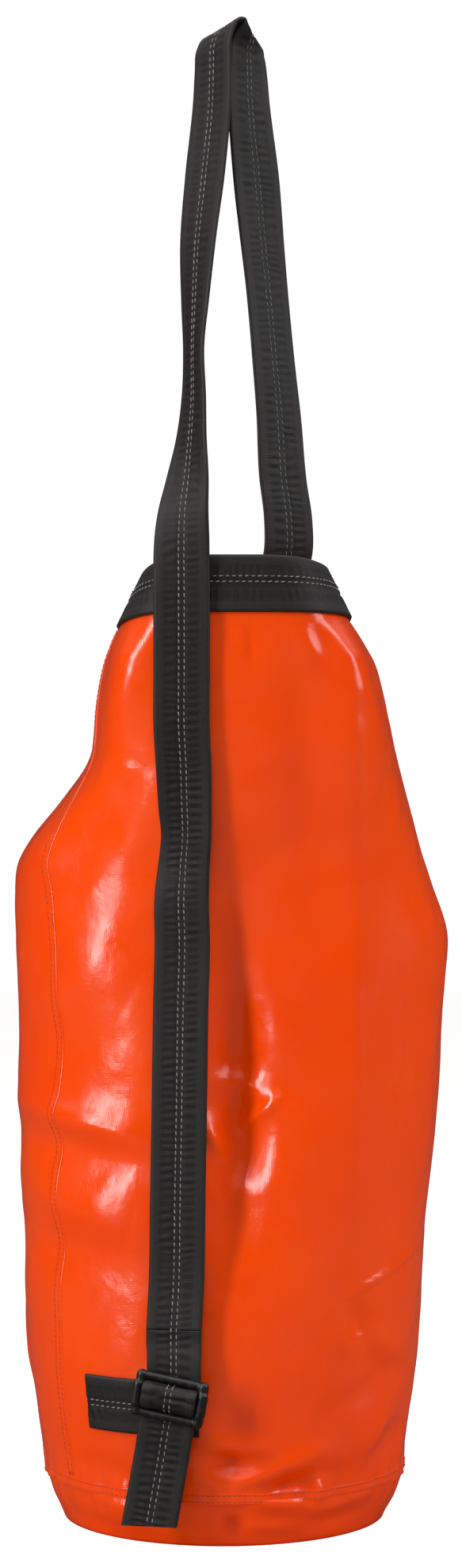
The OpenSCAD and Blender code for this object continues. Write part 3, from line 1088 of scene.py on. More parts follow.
    def build_side_seam(self, wardrobe: Wardrobe, stitcher: Stitcher) -> None:
        """Builds the doubled edge of the lapped side seam and its two rows of stitches.

        Args:
            wardrobe: The finishes.
            stitcher: Sews the seam.
        """
        heights = np.linspace(self.shape.seam + 0.006, self.shape.top - 0.040, 240)
        turn = np.interp(
            heights,
            [0.035, 0.400, 0.465, 0.536, 0.600, 0.673],
            [212, 219, 213, 199, 193, 190],
        )
        turn = np.convolve(np.pad(turn, 8, mode="edge"), np.ones(17) / 17, mode="valid")
        start = np.radians(turn)
        width = math.radians(3.8)
        across = np.linspace(0, 1, 9)
        z = np.repeat(heights[:, None], 9, axis=1)
        angle = start[:, None] + across * width
        lift = 0.0006 * np.minimum(1, np.minimum(across, 1 - across) * 12 + 0.15)
        outer = self.surface(z, angle, lift[None, :] + np.zeros_like(z))
        inner = self.surface(z, angle, -0.0002 + np.zeros_like(z))
        count = outer.shape[0] * 9
        rows = len(heights)
        faces = grid_faces(rows, 9, False)
        faces += grid_faces(rows, 9, False, count, flip=True)
        for i in range(rows - 1):
            a, b = i * 9, (i + 1) * 9
            faces.append([a, b, count + b, count + a])
            faces.append([b + 8, a + 8, count + a + 8, count + b + 8])
        for j in range(8):
            faces.append([j + 1, j, count + j, count + j + 1])
            top = (rows - 1) * 9 + j
            faces.append([top, top + 1, count + top + 1, count + top])
        uv = np.stack([angle * 0.14, z], -1).reshape(-1, 2)
        points = np.concatenate([outer.reshape(-1, 3), inner.reshape(-1, 3)])
        piece = mesh_piece("side_seam_flap", points, faces, wardrobe.tarpaulin, np.tile(uv, (2, 1)))
        settle(piece, Body.ROOT, Slot.TARPAULIN, "side_seam_lap")
        sewn = []
        for share in (0.22, 0.78):
            line = self.surface(heights, start + width * share, np.full(rows, 0.0007))
            away = unit(line - self.surface(heights, start + width * share, np.zeros(rows)))
            sewn.append((line, away))
        thread = stitcher.sew("side_seam_stitches", sewn, wardrobe.seam_thread, SEAM_STITCH)
        settle(thread, Body.ROOT, Slot.SEAM_THREAD, "side_seam_stitching")


# ----------------------------------------------------------------- webbing


@dataclass
class Ribbon:
    """A flat strip of cloth along a path, as a closed solid with soft edges.

    centre, across and facing are arrays with one row for each place on the path:
    the middle of the strip, the unit direction of its width and of its outer face.
    """

    centre: np.ndarray
    across: np.ndarray
    facing: np.ndarray
    width: float
    thickness: float
    closed: bool = False
    puckers: bool = False
    seed: int = 1
    start_at: float = 0.0
    cup: np.ndarray | None = None
    samples: int = 25

    def run(self) -> np.ndarray:
        """Distance along the strip at each place."""
        steps = np.linalg.norm(np.diff(self.centre, axis=0), axis=1)
        return self.start_at + np.concatenate([[0], np.cumsum(steps)])

    def relief(self, u: np.ndarray, s: np.ndarray) -> np.ndarray:
        """Height of the folded fabric over the strip's flat face, in metres.

        Args:
            u: Place across the strip, in metres from its middle.
            s: Place along it, in metres.

        Returns:
            Height at each place.
        """
        if not self.puckers:
            return 0 * (u + s)
        a, b = np.abs(u) / MM, s / MM
        side = np.sign(u)
        phase = smooth_noise(self.seed, b + 0.5 * a, 40 * side, 42) * 4.5
        wave = np.sin(2 * math.pi * b / 5.2 + phase + 0.10 * a * side)
        wave = np.sign(wave) * np.abs(wave) ** 0.8
        inner = np.clip((a - 2.2) / 1.6, 0, 1) * np.clip((12.6 - a) / 2.2, 0, 1)
        strength = 0.6 + 0.6 * smooth_noise(self.seed + 4, b + 0.8 * a, 14 * side, 21)
        pucker = 0.42 * wave * inner * strength
        channel = -0.45 * np.exp(-0.5 * ((a - 1.85) / 0.8) ** 2)
        ridge = 0.22 * np.exp(-0.5 * ((a - 13.2) / 0.8) ** 2) + 0.18 * np.clip((a - 13) / 2, 0, 1)
        return (pucker + channel + ridge) * MM

    def mesh(self, name: str, material: bpy.types.Material) -> bpy.types.Object:
        """Builds the strip.

        Args:
            name: Name of the piece.
            material: Its finish.

        Returns:
            The new object.
        """
        places = len(self.centre)
        half = self.width / 2
        lean = np.linspace(-1, 1, self.samples)
        u = half * np.sign(lean) * (1 - (1 - np.abs(lean)) ** 1.15)
        radius = min(self.thickness / 2, half)
        into = np.clip((half - np.abs(u)) / radius, 0, 1)
        edge = np.sqrt(np.clip(1 - (1 - into) ** 2, 0, 1))
        edge = np.maximum(edge, 0.06)
        run = self.run()
        ug, sg = np.meshgrid(u, run)
        raised = self.relief(ug, sg) * np.minimum(edge, 1)
        bow = np.zeros(places) if self.cup is None else self.cup
        bend = -bow[:, None] * (ug**2 - (half**2) / 3) / (2 * half)
        thick = self.thickness / 2 * edge[None, :]
        base = self.centre[:, None] + self.across[:, None] * ug[..., None]
        front = base + self.facing[:, None] * (bend + thick + raised)[..., None]
        back = base + self.facing[:, None] * (bend - thick - 0.5 * raised)[..., None]
        ring = np.concatenate([front, back[:, ::-1]], axis=1)
        columns = ring.shape[1]
        points = ring.reshape(-1, 3)
        uv_u = np.concatenate([ug, ug[:, ::-1]], axis=1)
        uv = np.stack([uv_u, np.concatenate([sg, sg], axis=1)], -1).reshape(-1, 2)
        if self.closed:
            points = points[: (places - 1) * columns]
            uv = uv[: (places - 1) * columns]
            faces = []
            for i in range(places - 1):
                a, b = i * columns, ((i + 1) % (places - 1)) * columns
                for j in range(columns):
                    k = (j + 1) % columns
                    faces.append([a + j, a + k, b + k, b + j])
        else:
            faces = grid_faces(places, columns, True)
            last = (places - 1) * columns
            faces.append(list(range(columns))[::-1])
            faces.append([last + j for j in range(columns)])
        piece = mesh_piece(name, points, faces, material, uv)
        outward = float(np.dot(piece.data.polygons[self.samples // 2].normal, self.facing[0]))
        if outward < 0:
            piece.data.flip_normals()
        return piece

    def row(self, offset: float, out: float) -> tuple[np.ndarray, np.ndarray]:
        """A line along the strip's outer face.

        Args:
            offset: Distance from the middle, across the strip.
            out: Distance outside the face.

        Returns:
            Points and outward directions.
        """
        half = self.width / 2
        bow = np.zeros(len(self.centre)) if self.cup is None else self.cup
        bend = -bow * (offset**2 - (half**2) / 3) / (2 * half)
        lift = self.thickness / 2 + out + bend + self.relief(np.array(offset), self.run())
        return self.centre + self.across * offset + self.facing * lift[:, None], self.facing


def resample(points: np.ndarray, step: float) -> np.ndarray:
    """Runs a smooth curve through stations and cuts it into even steps.

    Args:
        points: Stations; the first three columns are places, any others ride along.
        step: Distance between the new stations.

    Returns:
        The denser stations.
    """
    p = np.vstack([2 * points[0] - points[1], points, 2 * points[-1] - points[-2]])
    pieces = []
    for i in range(1, len(p) - 2):
        a, b, c, d = p[i - 1], p[i], p[i + 1], p[i + 2]
        span = max(np.linalg.norm((c - b)[:3]), 1e-6)
        before = max(np.linalg.norm((b - a)[:3]), 1e-6)
        after = max(np.linalg.norm((d - c)[:3]), 1e-6)
        m0 = span * ((b - a) / before * span + (c - b) / span * before) / (before + span)
        m1 = span * ((c - b) / span * after + (d - c) / after * span) / (span + after)
        t = np.linspace(0, 1, 24, endpoint=False)[:, None]
        h = (2 * t**3 - 3 * t**2 + 1, t**3 - 2 * t**2 + t, -2 * t**3 + 3 * t**2, t**3 - t**2)
        pieces.append(h[0] * b + h[1] * m0 + h[2] * c + h[3] * m1)
    dense = np.vstack(pieces + [p[-2][None]])
    run = np.concatenate([[0], np.cumsum(np.linalg.norm(np.diff(dense[:, :3], axis=0), axis=1))])
    even = np.linspace(0, run[-1], max(2, int(round(run[-1] / step)) + 1))
    return np.stack([np.interp(even, run, dense[:, k]) for k in range(dense.shape[1])], axis=1)


def lay_ribbon(stations: np.ndarray, width: float, thickness: float, step: float, **extra) -> Ribbon:
    """Lays a ribbon along stations of place, plan angle and lift of its width.

    Args:
        stations: Rows of x, y, z in metres and two angles in degrees.
        width: Width of the ribbon.
        thickness: Thickness of the ribbon.
        step: Distance between its places.
        extra: Further fields of the ribbon.

    Returns:
        The ribbon.
    """
    line = resample(np.asarray(stations, dtype=float), step)
    centre = line[:, :3]
    plan, lift = np.radians(line[:, 3]), np.radians(line[:, 4])
    across = np.stack([np.cos(plan) * np.cos(lift), np.sin(plan) * np.cos(lift), np.sin(lift)], -1)
    run = unit(np.gradient(centre, axis=0))
    facing = unit(np.cross(run, across))
    cup = line[:, 5] if line.shape[1] > 5 else None
    return Ribbon(centre, across, facing, width, thickness, cup=cup, **extra)


@dataclass
class RimBand:
    """The webbing round the mouth, the turned-in hem behind it and their stitches."""

    shape: WallShape
    width: float = 0.038
    thickness: float = 0.0026
    row_gap: float = 0.0037
    steps: int = 620

    def strip(self, below: float, above: float, out: float, thickness: float, seed: int) -> Ribbon:
        """A closed band round the wall near its top.

        Args:
            below: Height of the band's lower edge.
            above: Height of its upper edge.
            out: Distance of its middle outside the wall.
            thickness: Thickness of the band.
            seed: Seed of its puckers.

        Returns:
            The band.
        """
        where = np.linspace(0, 1, self.steps + 1)
        angle = self.shape.section((below + above) / 2, where)
        foot = self.shape.point(np.full_like(angle, below), angle, out)
        head = self.shape.point(np.full_like(angle, above), angle, out)
        centre = (foot + head) / 2
        across = unit(head - foot)
        along = np.gradient(centre, axis=0)
        along[0] = along[-1] = centre[1] - centre[-2]
        facing = unit(np.cross(unit(along), across))
        return Ribbon(
            centre, across, facing, above - below, thickness, closed=True, puckers=True, seed=seed
        )

    def build(self, wardrobe: Wardrobe, stitcher: Stitcher) -> None:
        """Builds the band, the hem and the twin rows of stitches.

        Args:
            wardrobe: The finishes.
            stitcher: Sews the rows.
        """
        top = self.shape.top
        band = self.strip(top - self.width, top + 0.0006, 0.0017, self.thickness, 31)
        piece = band.mesh("rim_webbing", wardrobe.webbing)
        settle(piece, Body.ROOT, Slot.WEBBING, "rim_band")
        hem = self.strip(top - 0.030, top - 0.0005, -0.0026, 0.0012, 37)
        hem.puckers = False
        piece = hem.mesh("mouth_hem", wardrobe.tarpaulin)
        settle(piece, Body.ROOT, Slot.TARPAULIN, "rim_hem")
        rows = [band.row(0.0030 + side * self.row_gap / 2, 0.00045) for side in (-1, 1)]
        rows += [
            (points - facing * 0.0062, -facing) for points, facing in (hem.row(0.0, 0.0),)
        ]
        thread = stitcher.sew("rim_stitches", rows, wardrobe.thread, RIM_STITCH)
        settle(thread, Body.ROOT, Slot.THREAD, "rim_stitching")


@dataclass
class ShoulderStrap:
    """The one long strap: sewn end, loop, front run, wrap through the buckle and tail."""

    shape: WallShape
    width: float = 0.038
    thickness: float = 0.0024
    row_gap: float = 0.0037
    step: float = 0.0013
    front_x: float = -0.028
    bend_low: float = 0.670
    bend_high: float = 0.692

    def __post_init__(self) -> None:
        """Finds where the strap passes the rim."""
        self.hinge_z = float(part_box("shoulder_strap_loop")[0][2])
        self.front_y = (
            self.shape.front_y(self.front_x + self.width / 2, self.shape.top) - 0.0036 - 0.0013
        )
        self.side_y = self.front_y + 0.017

    def route(self) -> np.ndarray:
        """Stations of the upper strap, from inside the rim, over the top and down the front."""
        y = self.front_y / MM
        z = self.hinge_z / MM
        sewn = [
            (38, y + 22.5, z - 44, -151, 0, 3),
            (39, y + 22, z - 30, -151, 0, 3),
            (41, y + 20.5, z - 16, -151, 0, 2),
            (43.5, y + 18, z - 4, -151, 0, 1),
        ]
        loop = [
            (43.5, y + 17, z + 18, -150, 0, 0),
            (40, y + 17, z + 45, -148, 0, 0),
            (37, y + 18, z + 90, -143, 0, 0),
            (34, y + 18, z + 121, -140, 0, 0),
            (29, y + 19, z + 175, -139, 0, 0),
            (26, y + 19, z + 205, -142, 0, 0),
            (22, y + 20, z + 248, -146, 0, 0),
            *self.apex(),
            (-12.5, y + 10, z + 248, -45, 0, 0),
            (-17, y + 9, z + 205, -51, 0, 0),
            (-19, y + 8, z + 163, -62, 0, 0),
            (-20, y + 7, z + 131, -70, 0, 0),
            (-20, y + 6, z + 99, -66, 0, 0),
            (-22, y + 4, z + 67, -56, 0, 0),
            (-24, y + 2, z + 46, -42, 0, 0),
            (-27, y + 0.3, z + 22, -26, 0, 0),
            (-28, y, z - 2, -10, 0, 0),
        ]
        front = [
            (x, self.front_at(x + 19, h), h, turn, 0, cup)
            for x, h, turn, cup in (
                (-28, 652, -4, 0),
                (-28, 632, -4, 0),
                (-28, 600, -4, 0),
                (-28, 555, -5, 0),
                (-27, 536, -8, 1),
                (-26, 505, -18, 4),
                (-25.5, 486, -24, 5),
                (-27, 465, -22, 4),
                (-28.5, 440, -12, 1.5),
                (-28, 415, -8, 0.5),
                (-29, 370, -8, 0),
                (-30, 300, -8, 0),
                (-31, 240, -8, 0),
                (-32, 180, -8, 0),
                (-33.5, 152, -9, 0),
            )
        ]
        stations = np.array(sewn + loop + front, dtype=float)
        stations[:, :3] *= MM
        stations[:, 5] *= MM
        return stations

    def apex(self) -> list[tuple]:
        """Stations over the top, from the strap's near and far edges there."""
        edges = (
            ((3, -158, 985), (31, -132, 982)),
            ((4, -159, 1003), (29, -131, 1000)),
            ((5.5, -161.5, 1019), (27.5, -130.5, 1011)),
            ((14, -163.5, 1028), (24, -130, 1019)),
            ((14, -165, 1030.5), (6, -129, 1025)),
            ((9, -167.5, 1028), (-13, -138, 1022)),
            ((5.5, -167.5, 1018), (-18, -138, 1014)),
            ((5, -167, 1003), (-19.3, -137.5, 1000)),
            ((5, -166.5, 985), (-20, -138.5, 983)),
        )
        rows = []
        for near, far in edges:
            near, far = np.array(near, dtype=float), np.array(far, dtype=float)
            along = unit(near - far)
            plan = math.degrees(math.atan2(along[1], along[0]))
            rows.append((*((near + far) / 2), plan, math.degrees(math.asin(along[2])), 0))
        return rows

    def front_at(self, x: float, z: float) -> float:
        """Where the middle of the strap lies in front of the wall, in millimetres."""
        gap = np.interp(
            z, [100, 140, 180, 240, 465, 632, 673], [9, 8, 3.2, 2.0, 2.0, 4, 4]
        )
        return self.shape.front_y(x * MM, z * MM) / MM - 1.2 - float(gap)

    def twin_rows(self, ribbon: Ribbon) -> list:
        """The two middle rows of stitches on a ribbon's outer face."""
        return [ribbon.row(side * self.row_gap / 2, 0.0002) for side in (-1, 1)]

    def build(self, wardrobe: Wardrobe, stitcher: Stitcher, buckle: "Buckle") -> None:
        """Builds the strap in the three lengths that its joints need.

        Args:
            wardrobe: The finishes.
            stitcher: Sews the rows.
            buckle: The buckle that the strap is threaded through.
        """
        low, high = (0, 0, self.bend_low), (0, 0, self.bend_high)
        upper = lay_ribbon(
            self.route(), self.width, self.thickness, self.step, puckers=True, seed=51
        )
        piece = upper.mesh("shoulder_strap", wardrobe.webbing)
        settle(
            piece,
            Body.ROOT,
            Slot.WEBBING,
            "shoulder_strap_loop",
            "strap_sewn_end",
            "strap_front_run",
            to=Body.LOOP,
            start=low,
            end=high,
        )
        apex = int(np.argmax(upper.centre[:, 2]))
        before, after = slice(0, apex - 4), slice(apex + 4, None)
        rows = self.twin_rows(upper)
        back_leg = [(line[before], away[before]) for line, away in rows]
        front_leg = [(line[after], away[after]) for line, away in rows]
        # The thread is sunk deeper into the leg at the back.
        thread = stitcher.sew("back_leg_stitches", back_leg, wardrobe.thread, SUNK_STITCH)
        settle(thread, Body.ROOT, Slot.THREAD, to=Body.LOOP, start=low, end=high)
        thread = stitcher.sew("front_leg_stitches", front_leg, wardrobe.thread)
        settle(
            thread,
            Body.ROOT,
            Slot.THREAD,
            "loop_stitching",
            "front_run_stitching",
            to=Body.LOOP,
            start=low,
            end=high,
        )
        lower_start = upper.run()[-1]
        lower = lay_ribbon(
            buckle.wrap_stations(upper),
            self.width,
            self.thickness,
            self.step * 0.8,
            puckers=True,
            seed=51,
            start_at=lower_start,
        )
        piece = lower.mesh("strap_through_buckle", wardrobe.webbing)
        hold = buckle.place(np.array([[0, 0, 22.0]]))[0]
        carried = buckle.place(np.array([[0, 0, 14.0]]))[0]
        settle(
            piece,
            Body.ROOT,
            Slot.WEBBING,
            "strap_bar_wrap",
            to=Body.BUCKLE,
            start=tuple(hold),
            end=tuple(carried),
        )
        thread = stitcher.sew("buckle_wrap_stitches", self.twin_rows(lower), wardrobe.thread)
        settle(
            thread, Body.ROOT, Slot.THREAD, to=Body.BUCKLE, start=tuple(hold), end=tuple(carried)
        )
        tail = lay_ribbon(
            buckle.tail_stations(),
            self.width,
            self.thickness,
            self.step * 0.8,
            puckers=True,
            seed=77,
        )
        piece = tail.mesh("strap_tail_end", wardrobe.webbing)
        buckle.cut_tail(piece)
        top = buckle.place(np.array([[0, 0, -15.5]]))[0]
        free = buckle.place(np.array([[0, 0, -19.0]]))[0]
        settle(
            piece,
            Body.BUCKLE,
            Slot.WEBBING,
            "strap_tail",
            to=Body.TAIL,
            start=tuple(top),
            end=tuple(free),
        )
        cut = buckle.cut_level() + 0.004
        rows = []
        for line, away in self.twin_rows(tail):
            above = line[:, 2] > cut
            rows.append((line[above], away[above]))
        thread = stitcher.sew("tail_stitches", rows, wardrobe.thread)
        settle(
            thread,
            Body.BUCKLE,
            Slot.THREAD,
            "tail_stitching",
            to=Body.TAIL,
            start=tuple(top),
            end=tuple(free),
        )


@dataclass
class Buckle:
    """The moulded ladder-lock, its webbing loop and the patch that the loop is sewn on.

    In its own frame X runs along the bars, Z up the strap and -Y outwards, in
    millimetres from the middle of the middle bar.
    """

    shape: WallShape
    width: float = 47.0
    height: float = 30.0
    bar_r: float = 2.5
    inside: float = 39.0
    roll: float = 10.0
    yaw: float = -12.0
    web: float = 2.4
    loop_bar: tuple = (9.5, -13.0)
    tail_top: float = -16.6
    tail_len: float = 72.0
    x: float = -36.0
    z: float = 107.0

    def __post_init__(self) -> None:
        """Finds the buckle's place in front of the wall."""
        self.y = self.shape.front_y((self.x + 20) * MM, self.z * MM) / MM - 13.5
        self.behind = self.bar_r + 0.6 + self.web / 2
        self.over = 1.5 + self.bar_r + 0.6 + self.web / 2
        roll, yaw = math.radians(self.roll), math.radians(self.yaw)
        turn_y = np.array(
            [[math.cos(roll), 0, math.sin(roll)], [0, 1, 0], [-math.sin(roll), 0, math.cos(roll)]]
        )
        turn_z = np.array(
            [[math.cos(yaw), -math.sin(yaw), 0], [math.sin(yaw), math.cos(yaw), 0], [0, 0, 1]]
        )
        self.turn = turn_z @ turn_y

    def place(self, local: np.ndarray) -> np.ndarray:
        """Takes points in the buckle's own frame, in millimetres, into the scene."""
        return (local @ self.turn.T + np.array([self.x, self.y, self.z])) * MM

    def strap_angles(self) -> tuple[float, float]:
        """Plan angle and lift of the bars, in degrees."""
        bar = self.turn @ np.array([1.0, 0, 0])
        return math.degrees(math.atan2(bar[1], bar[0])), math.degrees(math.asin(bar[2]))

    def wrap_stations(self, upper: Ribbon) -> np.ndarray:
        """Stations from the end of the upper strap through the three bars.

        Args:
            upper: The strap above, whose last place is the first station.

        Returns:
            Rows of place and angles.
        """
        pitch = self.height / 2 - self.bar_r
        local = [
            (-3.2, self.behind + 0.6, 27.0), (-1.8, self.behind, 20.0),
            (-0.6, self.behind, pitch), (-0.2, self.behind - 1, 9.4), (0, 0.8, 8.0),
            (0, -2.8, 8.2), (0, -0.6 - self.over, 7.4), (0, -self.over - 2.3, 4.6),
            (0, -self.over - 1.2, 1.2), (0, -self.over - 1.5, -1.6), (0, -self.over, -5.2),
            (0, -3.2, -7.4), (0, 0.8, -8.4), (0, self.behind - 1, -9.6),
            (0, self.behind, -pitch), (0, self.behind, -16.0),
        ]
        places = self.place(np.array(local, dtype=float))
        plan, lift = self.strap_angles()
        across = upper.across[-1]
        first_plan = math.degrees(math.atan2(across[1], across[0]))
        first = [*upper.centre[-1], first_plan, math.degrees(math.asin(across[2]))]
        before = [*upper.centre[-1], first_plan, first[4]]
        before[2] -= 0.008
        rows = [first, before] + [[*p, plan, lift] for p in places]
        return np.array(rows)

    def tail_stations(self) -> np.ndarray:
        """Stations of the free tail, from behind the lowest bar to past its cut end."""
        plan, lift = self.strap_angles()
        end = self.tail_top - self.tail_len - 4.0
        local = np.array(
            [(0, self.behind, -15.2), (0, self.behind, -24), (0, self.behind + 1.0, -40),
             (0, self.behind + 0.6, -60), (0, self.behind - 0.6, end)], dtype=float
        )
        return np.array([[*p, plan, lift] for p in self.place(local)])

    def cut_level(self) -> float:
        """Height of the tail's cut end."""
        return float(self.place(np.array([[0, self.behind, self.tail_top - self.tail_len]]))[0][2])

    def cut_tail(self, piece: bpy.types.Object) -> None:
        """Trims the end of the tail level with the ground by sliding its last places.

        Args:
            piece: The tail.
        """
        mesh = piece.data
        points = np.empty(len(mesh.vertices) * 3)
        mesh.vertices.foreach_get("co", points)
        points = points.reshape(-1, 3)
        level = self.cut_level()
        down = self.turn @ np.array([0, 0, -1.0])
        below = np.minimum(points[:, 2] - level, 0)
        reach = np.clip((level + 0.012 - points[:, 2]) / 0.012, 0, None)
        shift = below * np.clip(reach, 0, 1)
        points -= down * (shift / down[2])[:, None]
        mesh.vertices.foreach_set("co", points.ravel())
        mesh.update()

    def build(self, wardrobe: Wardrobe, stitcher: Stitcher) -> None:
        """Builds the moulding, the webbing loop and the sewn patch.

        Args:
            wardrobe: The finishes.
            stitcher: Sews the patch.
        """
        self.build_frame(wardrobe)
        self.build_loop(wardrobe)
        self.build_patch(wardrobe, stitcher)

    def build_frame(self, wardrobe: Wardrobe) -> None:
        """Builds the moulding from blended round bars and side plates.

        Args:
            wardrobe: The finishes.
        """
        half = (self.width - (self.width - self.inside) / 2) / 2
        pitch = self.height / 2 - self.bar_r
        bars = [(-0.4, pitch, 3.0), (-1.5, 0.0, 2.5), (-0.6, -pitch, 3.1)]
        parts: list[bpy.types.Object] = []
        for y, z, radius in bars:
            parts.append(self.rod((-half, y, z), (half, y, z), radius))
        y, z = self.loop_bar
        parts.append(self.rod((-half, y, z), (half, y, z), 2.0))
        for side in (-half, half):
            parts.append(self.rod((side, -1.0, -pitch), (side, -1.0, pitch), 3.7))
            parts.append(self.rod((side * 1.04, -2.6, -6), (side * 1.04, -2.6, 6), 3.8))
            parts.append(self.rod((side, 0.0, -pitch), (side, y, z), 2.4))
        bpy.ops.object.select_all(action="DESELECT")
        for part in parts:
            part.select_set(True)
        bpy.context.view_layer.objects.active = parts[0]
        bpy.ops.object.join()
        joined = bpy.context.view_layer.objects.active
        remesh = joined.modifiers.new("one_moulding", "REMESH")
        remesh.mode = "VOXEL"
        remesh.voxel_size = 0.5 * MM
        soften = joined.modifiers.new("soft_edges", "SMOOTH")
        soften.iterations = 5
        soften.factor = 0.5
        graph = bpy.context.evaluated_depsgraph_get()
        mesh = bpy.data.meshes.new_from_object(joined.evaluated_get(graph))
        joined.modifiers.clear()
        joined.data = mesh
        joined.name = "ladder_lock_buckle"
        mesh.name = joined.name
        mesh.materials.clear()
        mesh.materials.append(wardrobe.acetal)
        mesh.shade_smooth()
        settle(joined, Body.BUCKLE, Slot.ACETAL, "buckle_frame")

    def rod(self, a: tuple, b: tuple, radius: float) -> bpy.types.Object:
        """A round-ended rod between two points of the buckle's frame.

        Args:
            a: One end, in millimetres.
            b: Other end.
            radius: Radius in millimetres.

        Returns:
            The rod, in the scene's frame.
        """
        start, end = np.array(a, dtype=float), np.array(b, dtype=float)
        axis = unit(end - start)
        other = np.array([0.0, 1.0, 0.0]) if abs(axis[1]) < 0.9 else np.array([1.0, 0.0, 0.0])
        side = unit(np.cross(axis, other))
        third = np.cross(axis, side)
        around = np.linspace(0, 2 * math.pi, 24, endpoint=False)
        rings = []
        for t in np.linspace(-math.pi / 2, math.pi / 2, 11):
            middle = (start if t < 0 else end) + axis * radius * math.sin(t)
            ring = middle + radius * math.cos(t) * (
                np.cos(around)[:, None] * side + np.sin(around)[:, None] * third
            )
            rings.append(ring)
        rings = np.array(rings)
        faces = grid_faces(len(rings), 24, True)
        faces.append(list(range(24))[::-1])
        faces.append([(len(rings) - 1) * 24 + j for j in range(24)])
        mesh = bpy.data.meshes.new("rod")
        mesh.from_pydata(self.place(rings.reshape(-1, 3)).tolist(), [], faces)
        obj = bpy.data.objects.new("rod", mesh)
        bpy.context.scene.collection.objects.link(obj)
        return obj

    def build_loop(self, wardrobe: Wardrobe) -> None:
        """Builds the short loop of webbing round the loop bar.

        Args:
            wardrobe: The finishes.
        """
        y0, z0 = self.loop_bar
        radius = 3.1
        turn = np.radians(np.linspace(-60, 250, 24))
        stations = [(0, y0 + 5.9, z0 - 15.8), (0, y0 + 3.6, z0 - 6)]
        stations += [(0, y0 + radius * math.cos(t), z0 + radius * math.sin(t)) for t in turn]
        stations += [(0, y0 + 1.9, z0 - 7), (0, y0 + 4.3, z0 - 15.8)]
        plan, lift = self.strap_angles()
        rows = np.array([[*p, plan, lift] for p in self.place(np.array(stations, dtype=float))])
        ribbon = lay_ribbon(rows, 0.034, 0.0013, 0.0006)
        piece = ribbon.mesh("buckle_webbing_loop", wardrobe.webbing)
        settle(piece, Body.ROOT, Slot.WEBBING, "buckle_loop")

    def build_patch(self, wardrobe: Wardrobe, stitcher: Stitcher) -> None:
        """Builds the level patch of webbing behind the buckle, with its stitches.

        Args:
            wardrobe: The finishes.
            stitcher: Sews the rows.
        """
        low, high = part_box("anchor_patch")
        middle = (low[2] + high[2]) / 2
        angle = np.radians(np.linspace(228, 263, 90))
        foot = self.shape.point(np.full_like(angle, low[2]), angle, 0.0016)
        head = self.shape.point(np.full_like(angle, high[2]), angle, 0.0016)
        centre = self.shape.point(np.full_like(angle, middle), angle, 0.0016)
        across = unit(head - foot)
        along = unit(np.gradient(centre, axis=0))
        facing = unit(np.cross(along, across))
        patch = Ribbon(
            centre, across, facing, 0.038, 0.0024, puckers=True, seed=63, start_at=0.3
        )
        piece = patch.mesh("anchor_webbing", wardrobe.webbing)
        settle(piece, Body.ROOT, Slot.WEBBING, "anchor_patch")
        rows = [patch.row(side * 0.00185, 0.0002) for side in (-1, 1)]
        rows = [(points[5:], away[5:]) for points, away in rows]
        thread = stitcher.sew("anchor_stitches", rows, wardrobe.thread)
        settle(thread, Body.ROOT, Slot.THREAD, "anchor_stitching")


# ------------------------------------------------------------------ studio


@dataclass(frozen=True)
class Softbox:
    """A rectangular soft light aimed at the middle of the bag."""

    name: str
    at: tuple
    size: tuple
    watts: float
    mirrored: bool = True


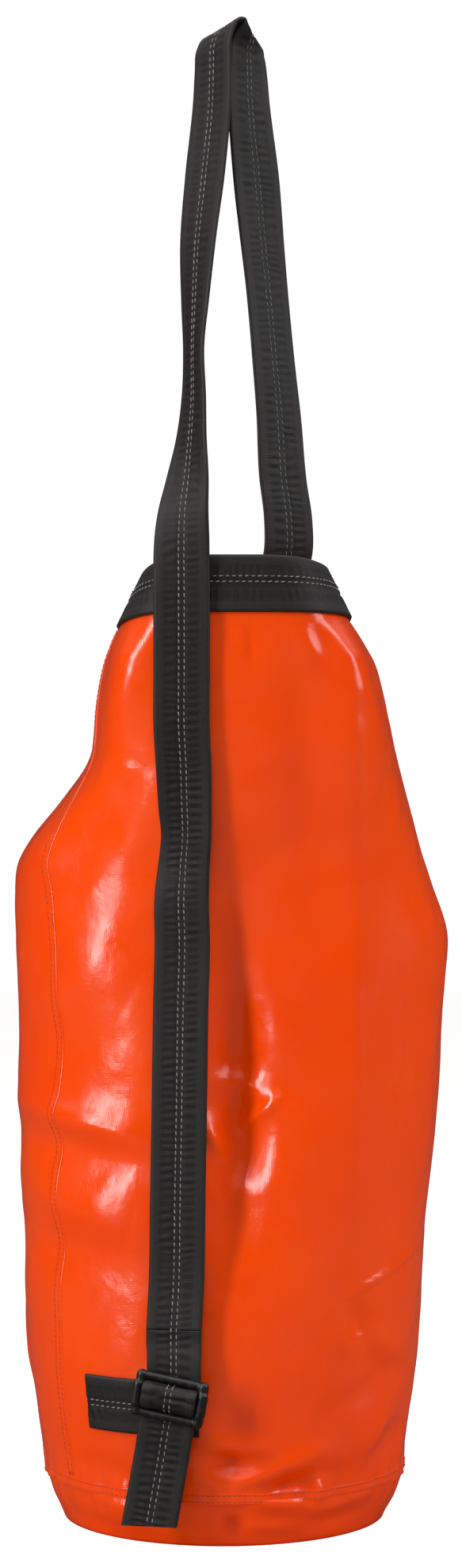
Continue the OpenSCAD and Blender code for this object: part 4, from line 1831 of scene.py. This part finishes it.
@dataclass
class Studio:
    """Camera, floor and soft lights."""

    eye: tuple = (0.005, -2.4, 0.520)
    lens: float = 76.95
    world: float = 0.28
    mirrored: float = 0.04
    ceiling: float = 1.6
    backdrop: float = 1.05
    aim: tuple = (0.0, 0.0, 0.45)
    softboxes: tuple = (
        Softbox("key", (-1.9, -1.45, 1.05), (0.42, 1.7), 38),
        Softbox("front_fill", (0.1, -2.4, 2.3), (0.9, 0.9), 15, mirrored=False),
        Softbox("right_panel", (2.2, -0.25, 0.9), (1.5, 2.2), 10, mirrored=False),
        Softbox("right_strip", (2.0, -0.6, 1.35), (0.8, 1.2), 15),
        Softbox("top", (0.2, -0.3, 2.4), (0.9, 0.9), 6),
    )

    def build(self) -> None:
        """Builds the camera first, then the floor and the lights."""
        camera = bpy.data.cameras.new("camera")
        camera.lens = self.lens
        camera.sensor_width = 36
        obj = bpy.data.objects.new("camera", camera)
        obj.location = self.eye
        obj.rotation_euler = (math.pi / 2, 0, 0)
        bpy.context.scene.collection.objects.link(obj)
        bpy.context.scene.camera = obj
        self.floor()
        world = bpy.data.worlds.new("studio")
        bpy.context.scene.world = world
        world.use_nodes = True
        tree = world.node_tree
        tree.nodes.clear()
        path = add_node(tree, "ShaderNodeLightPath").outputs
        way = add_node(tree, "ShaderNodeTexCoord").outputs["Generated"]
        height = add_node(tree, "ShaderNodeSeparateXYZ", inputs={0: way}).outputs["Z"]
        # Polished cloth mirrors a dim room with a bright ceiling.
        ceiling = add_node(
            tree,
            "ShaderNodeMapRange",
            {"interpolation_type": "SMOOTHSTEP"},
            {
                "Value": height,
                "From Min": 0.30,
                "From Max": 0.75,
                "To Min": self.mirrored,
                "To Max": self.ceiling,
            },
        )
        room = add_node(
            tree,
            "ShaderNodeMapRange",
            inputs={
                "Value": path["Is Glossy Ray"],
                "To Min": self.world,
                "To Max": ceiling.outputs[0],
            },
        )
        strength = add_node(
            tree,
            "ShaderNodeMapRange",
            inputs={
                "Value": path["Is Camera Ray"],
                "To Min": room.outputs[0],
                "To Max": self.backdrop,
            },
        )
        background = add_node(
            tree,
            "ShaderNodeBackground",
            inputs={"Color": (1.0, 1.0, 1.0, 1.0), "Strength": strength.outputs[0]},
        )
        add_node(tree, "ShaderNodeOutputWorld", inputs={"Surface": background.outputs[0]})
        for softbox in self.softboxes:
            self.hang(softbox)
        bpy.context.scene.view_settings.view_transform = "Standard"

    def floor(self) -> None:
        """Builds the pale floor."""
        side = 6.0
        points = np.array([(-side, -side, 0), (side, -side, 0), (side, side, 0), (-side, side, 0)])
        floor = mesh_piece("floor", points, [[0, 1, 2, 3]], MattePaper().material())

    def hang(self, softbox: Softbox) -> None:
        """Adds one soft light.

        Args:
            softbox: Its place, size and power.
        """
        light = bpy.data.lights.new(softbox.name, "AREA")
        light.shape = "RECTANGLE"
        light.size, light.size_y = softbox.size
        light.energy = softbox.watts
        obj = bpy.data.objects.new(softbox.name, light)
        obj.location = softbox.at
        obj.visible_glossy = softbox.mirrored
        way = np.array(self.aim) - np.array(softbox.at)
        yaw = math.atan2(way[1], way[0]) - math.pi / 2
        pitch = math.atan2(way[2], math.hypot(way[0], way[1]))
        obj.rotation_euler = (math.pi / 2 + pitch, 0, yaw)
        bpy.context.scene.collection.objects.link(obj)


def main() -> None:
    """Builds the studio and then each sub-assembly of the bag."""
    logging.basicConfig(level=logging.INFO, format="%(name)s %(message)s")
    Studio().build()
    wardrobe = Wardrobe()
    stitcher = Stitcher()
    shape = WallShape()
    BagWall(shape).build(wardrobe, stitcher)
    RimBand(shape).build(wardrobe, stitcher)
    buckle = Buckle(shape)
    buckle.build(wardrobe, stitcher)
    ShoulderStrap(shape).build(wardrobe, stitcher, buckle)


if __name__ == "__main__":
    main()
